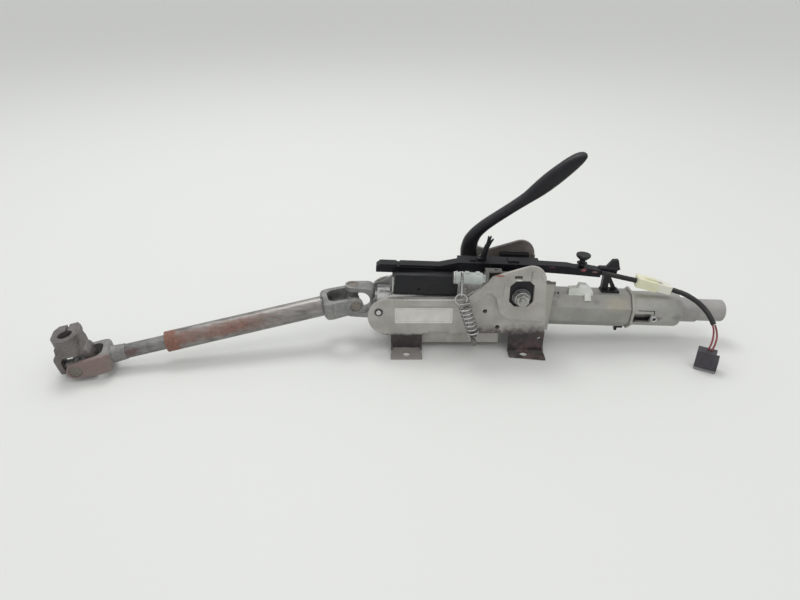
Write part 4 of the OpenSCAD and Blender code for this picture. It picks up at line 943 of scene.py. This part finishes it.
def makeShield():
    (x0, x1), (holeX, holeZ), s = shield["x"], shield["hole"], shield
    hole = [(holeX + s["holeRadius"] * math.cos(a), holeZ + s["holeRadius"] * math.sin(a))
            for a in around(s["holeSides"])]
    wall = plateWithHole("sideShield", cornered(x0, x1, s["low"], s["top"], s["round"]), hole, mm(0, s["wall"], 0),
                         lambda a, b: onColumn(a, s["outY"], b))
    soften(wall, s["edge"])
    inY, inset, (front, rear) = s["outY"] + s["wall"], s["inset"], s["flangePast"]
    corners = [(x0 + inset, inY, 0), (x1 - inset, inY, 0), (x1 + rear, s["flangeY"], s["rise"]),
               (x0 - front, s["flangeY"], 0)]
    levels = [s["top"] - below for below in s["flangeBelow"]]
    shelf = meshPiece("shieldFlange", [onColumn(x, y, z + up) for z in levels for x, y, up in corners], boxFaces)
    soften(shelf, s["edge"])
    dress(wall, "black_plastic", "swing_arm", "black_plastic", "side_shield")
    dress(shelf, "black_plastic", "swing_arm", "black_plastic")


makeShield()
print("shield folded")


# clamp nut with a round flange, and the thread on the bolt's end

clampNut = {
    "across": 14.4, "flangeRadius": 9.1, "flange": 1.7, "flangeEdge": (0.0007, 0.0005), "sides": 72, "sharp": 35,
    "chamfer": (0.0011, 0.0004), "crown": (1.075, 0.99),
    "threadPitch": 1.5, "threadRidge": 0.42, "threadSteps": 24, "threadSides": 8, "threadSink": 0.00012,
    "threadStart": 0.0004, "threadShort": 0.0008, "boltFrom": 0.0005,
}


def boxOf(node):
    points = [v.co for v in nodes[node].data.vertices]
    return [Vector([pick(q[i] for q in points) for i in range(3)]) for pick in (min, max)]


def makeClampNut():
    c = clampNut
    low, high = boxOf("clamp_nut")
    centre = (low + high) / 2
    bolt = [v.co for v in nodes["clamp_bolt"].data.vertices if v.co.y < low.y - c["boltFrom"]]
    boltEnd = min(v.y for v in bolt)
    boltRadius = max(math.hypot(v.x - centre.x, v.z - centre.z) for v in bolt)
    half, rim = c["across"] / 2000, c["flangeRadius"] / 1000
    base = high.y - c["flange"] / 1000

    def hexagon(most):
        return lambda a: min(half / math.cos((a + math.pi / 6) % (math.pi / 3) - math.pi / 6), most)

    profile = [(high.y, boltRadius), (high.y, rim), (base + c["flangeEdge"][1], rim), (base, rim - c["flangeEdge"][0]),
               (base, hexagon(1)), (low.y + c["chamfer"][0], hexagon(1)),
               (low.y + c["chamfer"][1], hexagon(half * c["crown"][0])), (low.y, half * c["crown"][1]),
               (low.y, boltRadius)]
    nut = turnedRing("clampNut", profile, c["sides"], lambda x, y, z: (centre.x + x, y, centre.z + z), c["sharp"])
    dress(nut, "zinc", "swing_arm", slotOf["clamp_nut"], "clamp_nut")
    pitch, steps = c["threadPitch"] / 1000, c["threadSteps"]
    reach = boltRadius - c["threadSink"]
    way = []
    for i in range(int((low.y - boltEnd - c["threadShort"]) / pitch * steps) + 1):
        a = 2 * math.pi * i / steps
        way.append(Vector((centre.x + reach * math.cos(a), low.y - c["threadStart"] - pitch * i / steps,
                           centre.z + reach * math.sin(a))))
    ridge = wireMesh("boltThread", way, c["threadSides"], 2 * c["threadRidge"] / 1000)
    dress(ridge, "zinc", "swing_arm", slotOf["clamp_bolt"])


makeClampNut()
print("clamp nut turned")


# prong clip: a stout stem on the duct's top, split into three tips

prong = {
    "foot": (126, 62.5), "footSize": (9, 8, 3.2), "footEdge": 0.0006, "steps": 6,
    "stem": [(128.6, 63), (129.6, 70), (131.2, 77), (132.4, 82)], "stemHalf": (4.4, 3.2, 2.4), "stemSides": 20,
    "tips": [(132.8, -1.2, 94.5), (136, 0.6, 94.2), (139, -0.4, 91)], "tipHalf": (1.9, 1.1), "tipSides": 12,
    "tipApart": 1.3, "tipSunk": 2, "tipBow": 0.5,
}


def merged(name, pieces):
    work = bmesh.new()
    for piece in pieces:
        work.from_mesh(piece.data)
        bpy.data.objects.remove(piece)
    return pieceFrom(work, name)


def makeProngs():
    (x, z), (wide, deep, tall) = prong["foot"], prong["footSize"]
    corners = [(x - wide / 2, -deep / 2), (x + wide / 2, -deep / 2), (x + wide / 2, deep / 2), (x - wide / 2, deep / 2)]
    foot = meshPiece("prongFoot", [onColumn(a, b, c) for c in (z, z + tall) for a, b in corners], boxFaces)
    soften(foot, prong["footEdge"])
    line = flow([onColumn(a, 0, c) for a, c in prong["stem"]], prong["steps"])
    full = runLength(line)
    low, high, side = [r / 1000 for r in prong["stemHalf"]]

    def stemRadius(travelled, angle):
        half = low + (high - low) * travelled / full
        return 1 / math.sqrt((math.cos(angle) / side) ** 2 + (math.sin(angle) / half) ** 2)

    pieces = [foot, tubeMesh("prongStem", line, prong["stemSides"], stemRadius)]
    rootX, rootZ = prong["stem"][-1]
    thick, fine = [r / 1000 for r in prong["tipHalf"]]
    for i, (a, b, c) in enumerate(prong["tips"]):
        start = (rootX + (i - 1) * prong["tipApart"], 0, rootZ - prong["tipSunk"])
        middle = ((start[0] + a) / 2 - (i - 1) * prong["tipBow"], b / 2, (start[2] + c) / 2)
        way = flow([onColumn(*start), onColumn(*middle), onColumn(a, b, c)], prong["steps"])
        span = runLength(way)
        pieces.append(tubeMesh("prongTip", way, prong["tipSides"],
                               lambda travelled, angle: thick + (fine - thick) * travelled / span))
    clip = merged("prongClip", pieces)
    dress(clip, "black_plastic", bodyOf["prong_clip"], slotOf["prong_clip"], "prong_clip")


makeProngs()
print("prongs split")


# bright bush in the lock housing's round hole

lockBush = {"x": 354, "z": -4.5, "y": (-22.2, -18.7), "radius": 3.95, "bore": 2.1, "edge": 0.5, "sides": 40,
            "sharp": 50}


def makeLockBush():
    near, far = lockBush["y"]
    r, bore, e = lockBush["radius"], lockBush["bore"], lockBush["edge"]
    profile = [(far, r), (near + e, r), (near, r - e), (near, bore + e), (near + e, bore), (far, bore)]
    bush = turnedRing("lockBush", profile, lockBush["sides"],
                      lambda x, y, z: onColumn(lockBush["x"] + x, y, lockBush["z"] + z), lockBush["sharp"])
    dress(bush, "bearing_steel", "jacket", "zinc")


makeLockBush()
print("lock bush fitted")


# polished rivet heads on the tilt pivots

rivet = {"radius": 3.5, "rise": 1.3, "out": 34.7, "sunk": 0.1, "rings": 5, "sides": 28}


def makeRivets():
    n, rings = rivet["sides"], rivet["rings"]
    for side, name in ((-1, "rivetHeadNear"), (1, "rivetHeadFar")):
        verts = []
        for i in range(rings):
            a = math.pi / 2 * i / rings
            r, lift = rivet["radius"] * math.cos(a), rivet["rise"] * math.sin(a)
            verts += [pivot + mm(r * math.cos(b), side * (rivet["out"] + lift - rivet["sunk"]), r * math.sin(b))
                      for b in around(n)]
        faces = ringFaces(rings, n)
        top, last = len(verts), (rings - 1) * n
        verts.append(pivot + mm(0, side * (rivet["out"] + rivet["rise"] - rivet["sunk"]), 0))
        faces += [(last + k, last + (k + 1) % n, top) for k in range(n)]
        faces.append(tuple(range(n)))
        head = meshPiece(name, verts, faces)
        for face in head.data.polygons:
            face.use_smooth = len(face.vertices) < 5
        work = bmesh.new()
        work.from_mesh(head.data)
        bmesh.ops.recalc_face_normals(work, faces=work.faces)
        work.to_mesh(head.data)
        work.free()
        dress(head, "bearing_steel", "bracket", slotOf["pivot_pins"])


makeRivets()
print("rivets set")


# bare label on the near wall of the channel

label = {
    "x": (-89.5, -17), "z": (41, 63), "y": -33.0, "thick": 0.12, "corner": 1.2, "frame": 2.2, "line": (0.0003, 0.00012),
    "tones": ((208, 206, 200), (224, 222, 217), (160, 156, 146), (128, 126, 120)), "rough": 0.42, "bump": 0.0002,
}


def labelPaper():
    material, shader, coords, (dark, light, scuffed, ink) = startFinish("labelPaper", label["tones"])
    grain = place("fineGrain", coords, Scale=1200.0, Cloud=70.0)
    colour = blendColour(spread(grain["Cloud"], 0.3, 0.7), dark, light)
    marks = place("scuffs", coords, Scale=150.0, Amount=0.5)
    colour = blendColour(marks["Mask"], colour, scuffed)
    axes = put(coords.id_data, "SeparateXYZ", {0: coords}).outputs
    inset = []
    for axis, (low, high) in (("X", label["x"]), ("Z", label["z"])):
        off = maths("ABSOLUTE", minus(axes[axis], (low + high) / 2000))
        inset.append(minus(off, (high - low) / 2000 - label["frame"] / 1000))
    line = maths("ABSOLUTE", maths("MAXIMUM", *inset))
    colour = blendColour(spread(line, *label["line"], 0.0, 0.5), colour, ink)
    connect(shader, colour, label["rough"], grain["Cloud"], label["bump"])
    return material


def makeLabel():
    work = bmesh.new()
    outline = cornered(*label["x"], *label["z"], label["corner"], 4)
    face = work.faces.new([work.verts.new(mm(x, label["y"], z)) for x, z in outline])
    thicken(work, [face], mm(0, -label["thick"], 0))
    finishes["label_paper"] = labelPaper()
    dress(pieceFrom(work, "bareLabel"), "label_paper", "bracket", "bracket_paint")


makeLabel()
print("label placed")
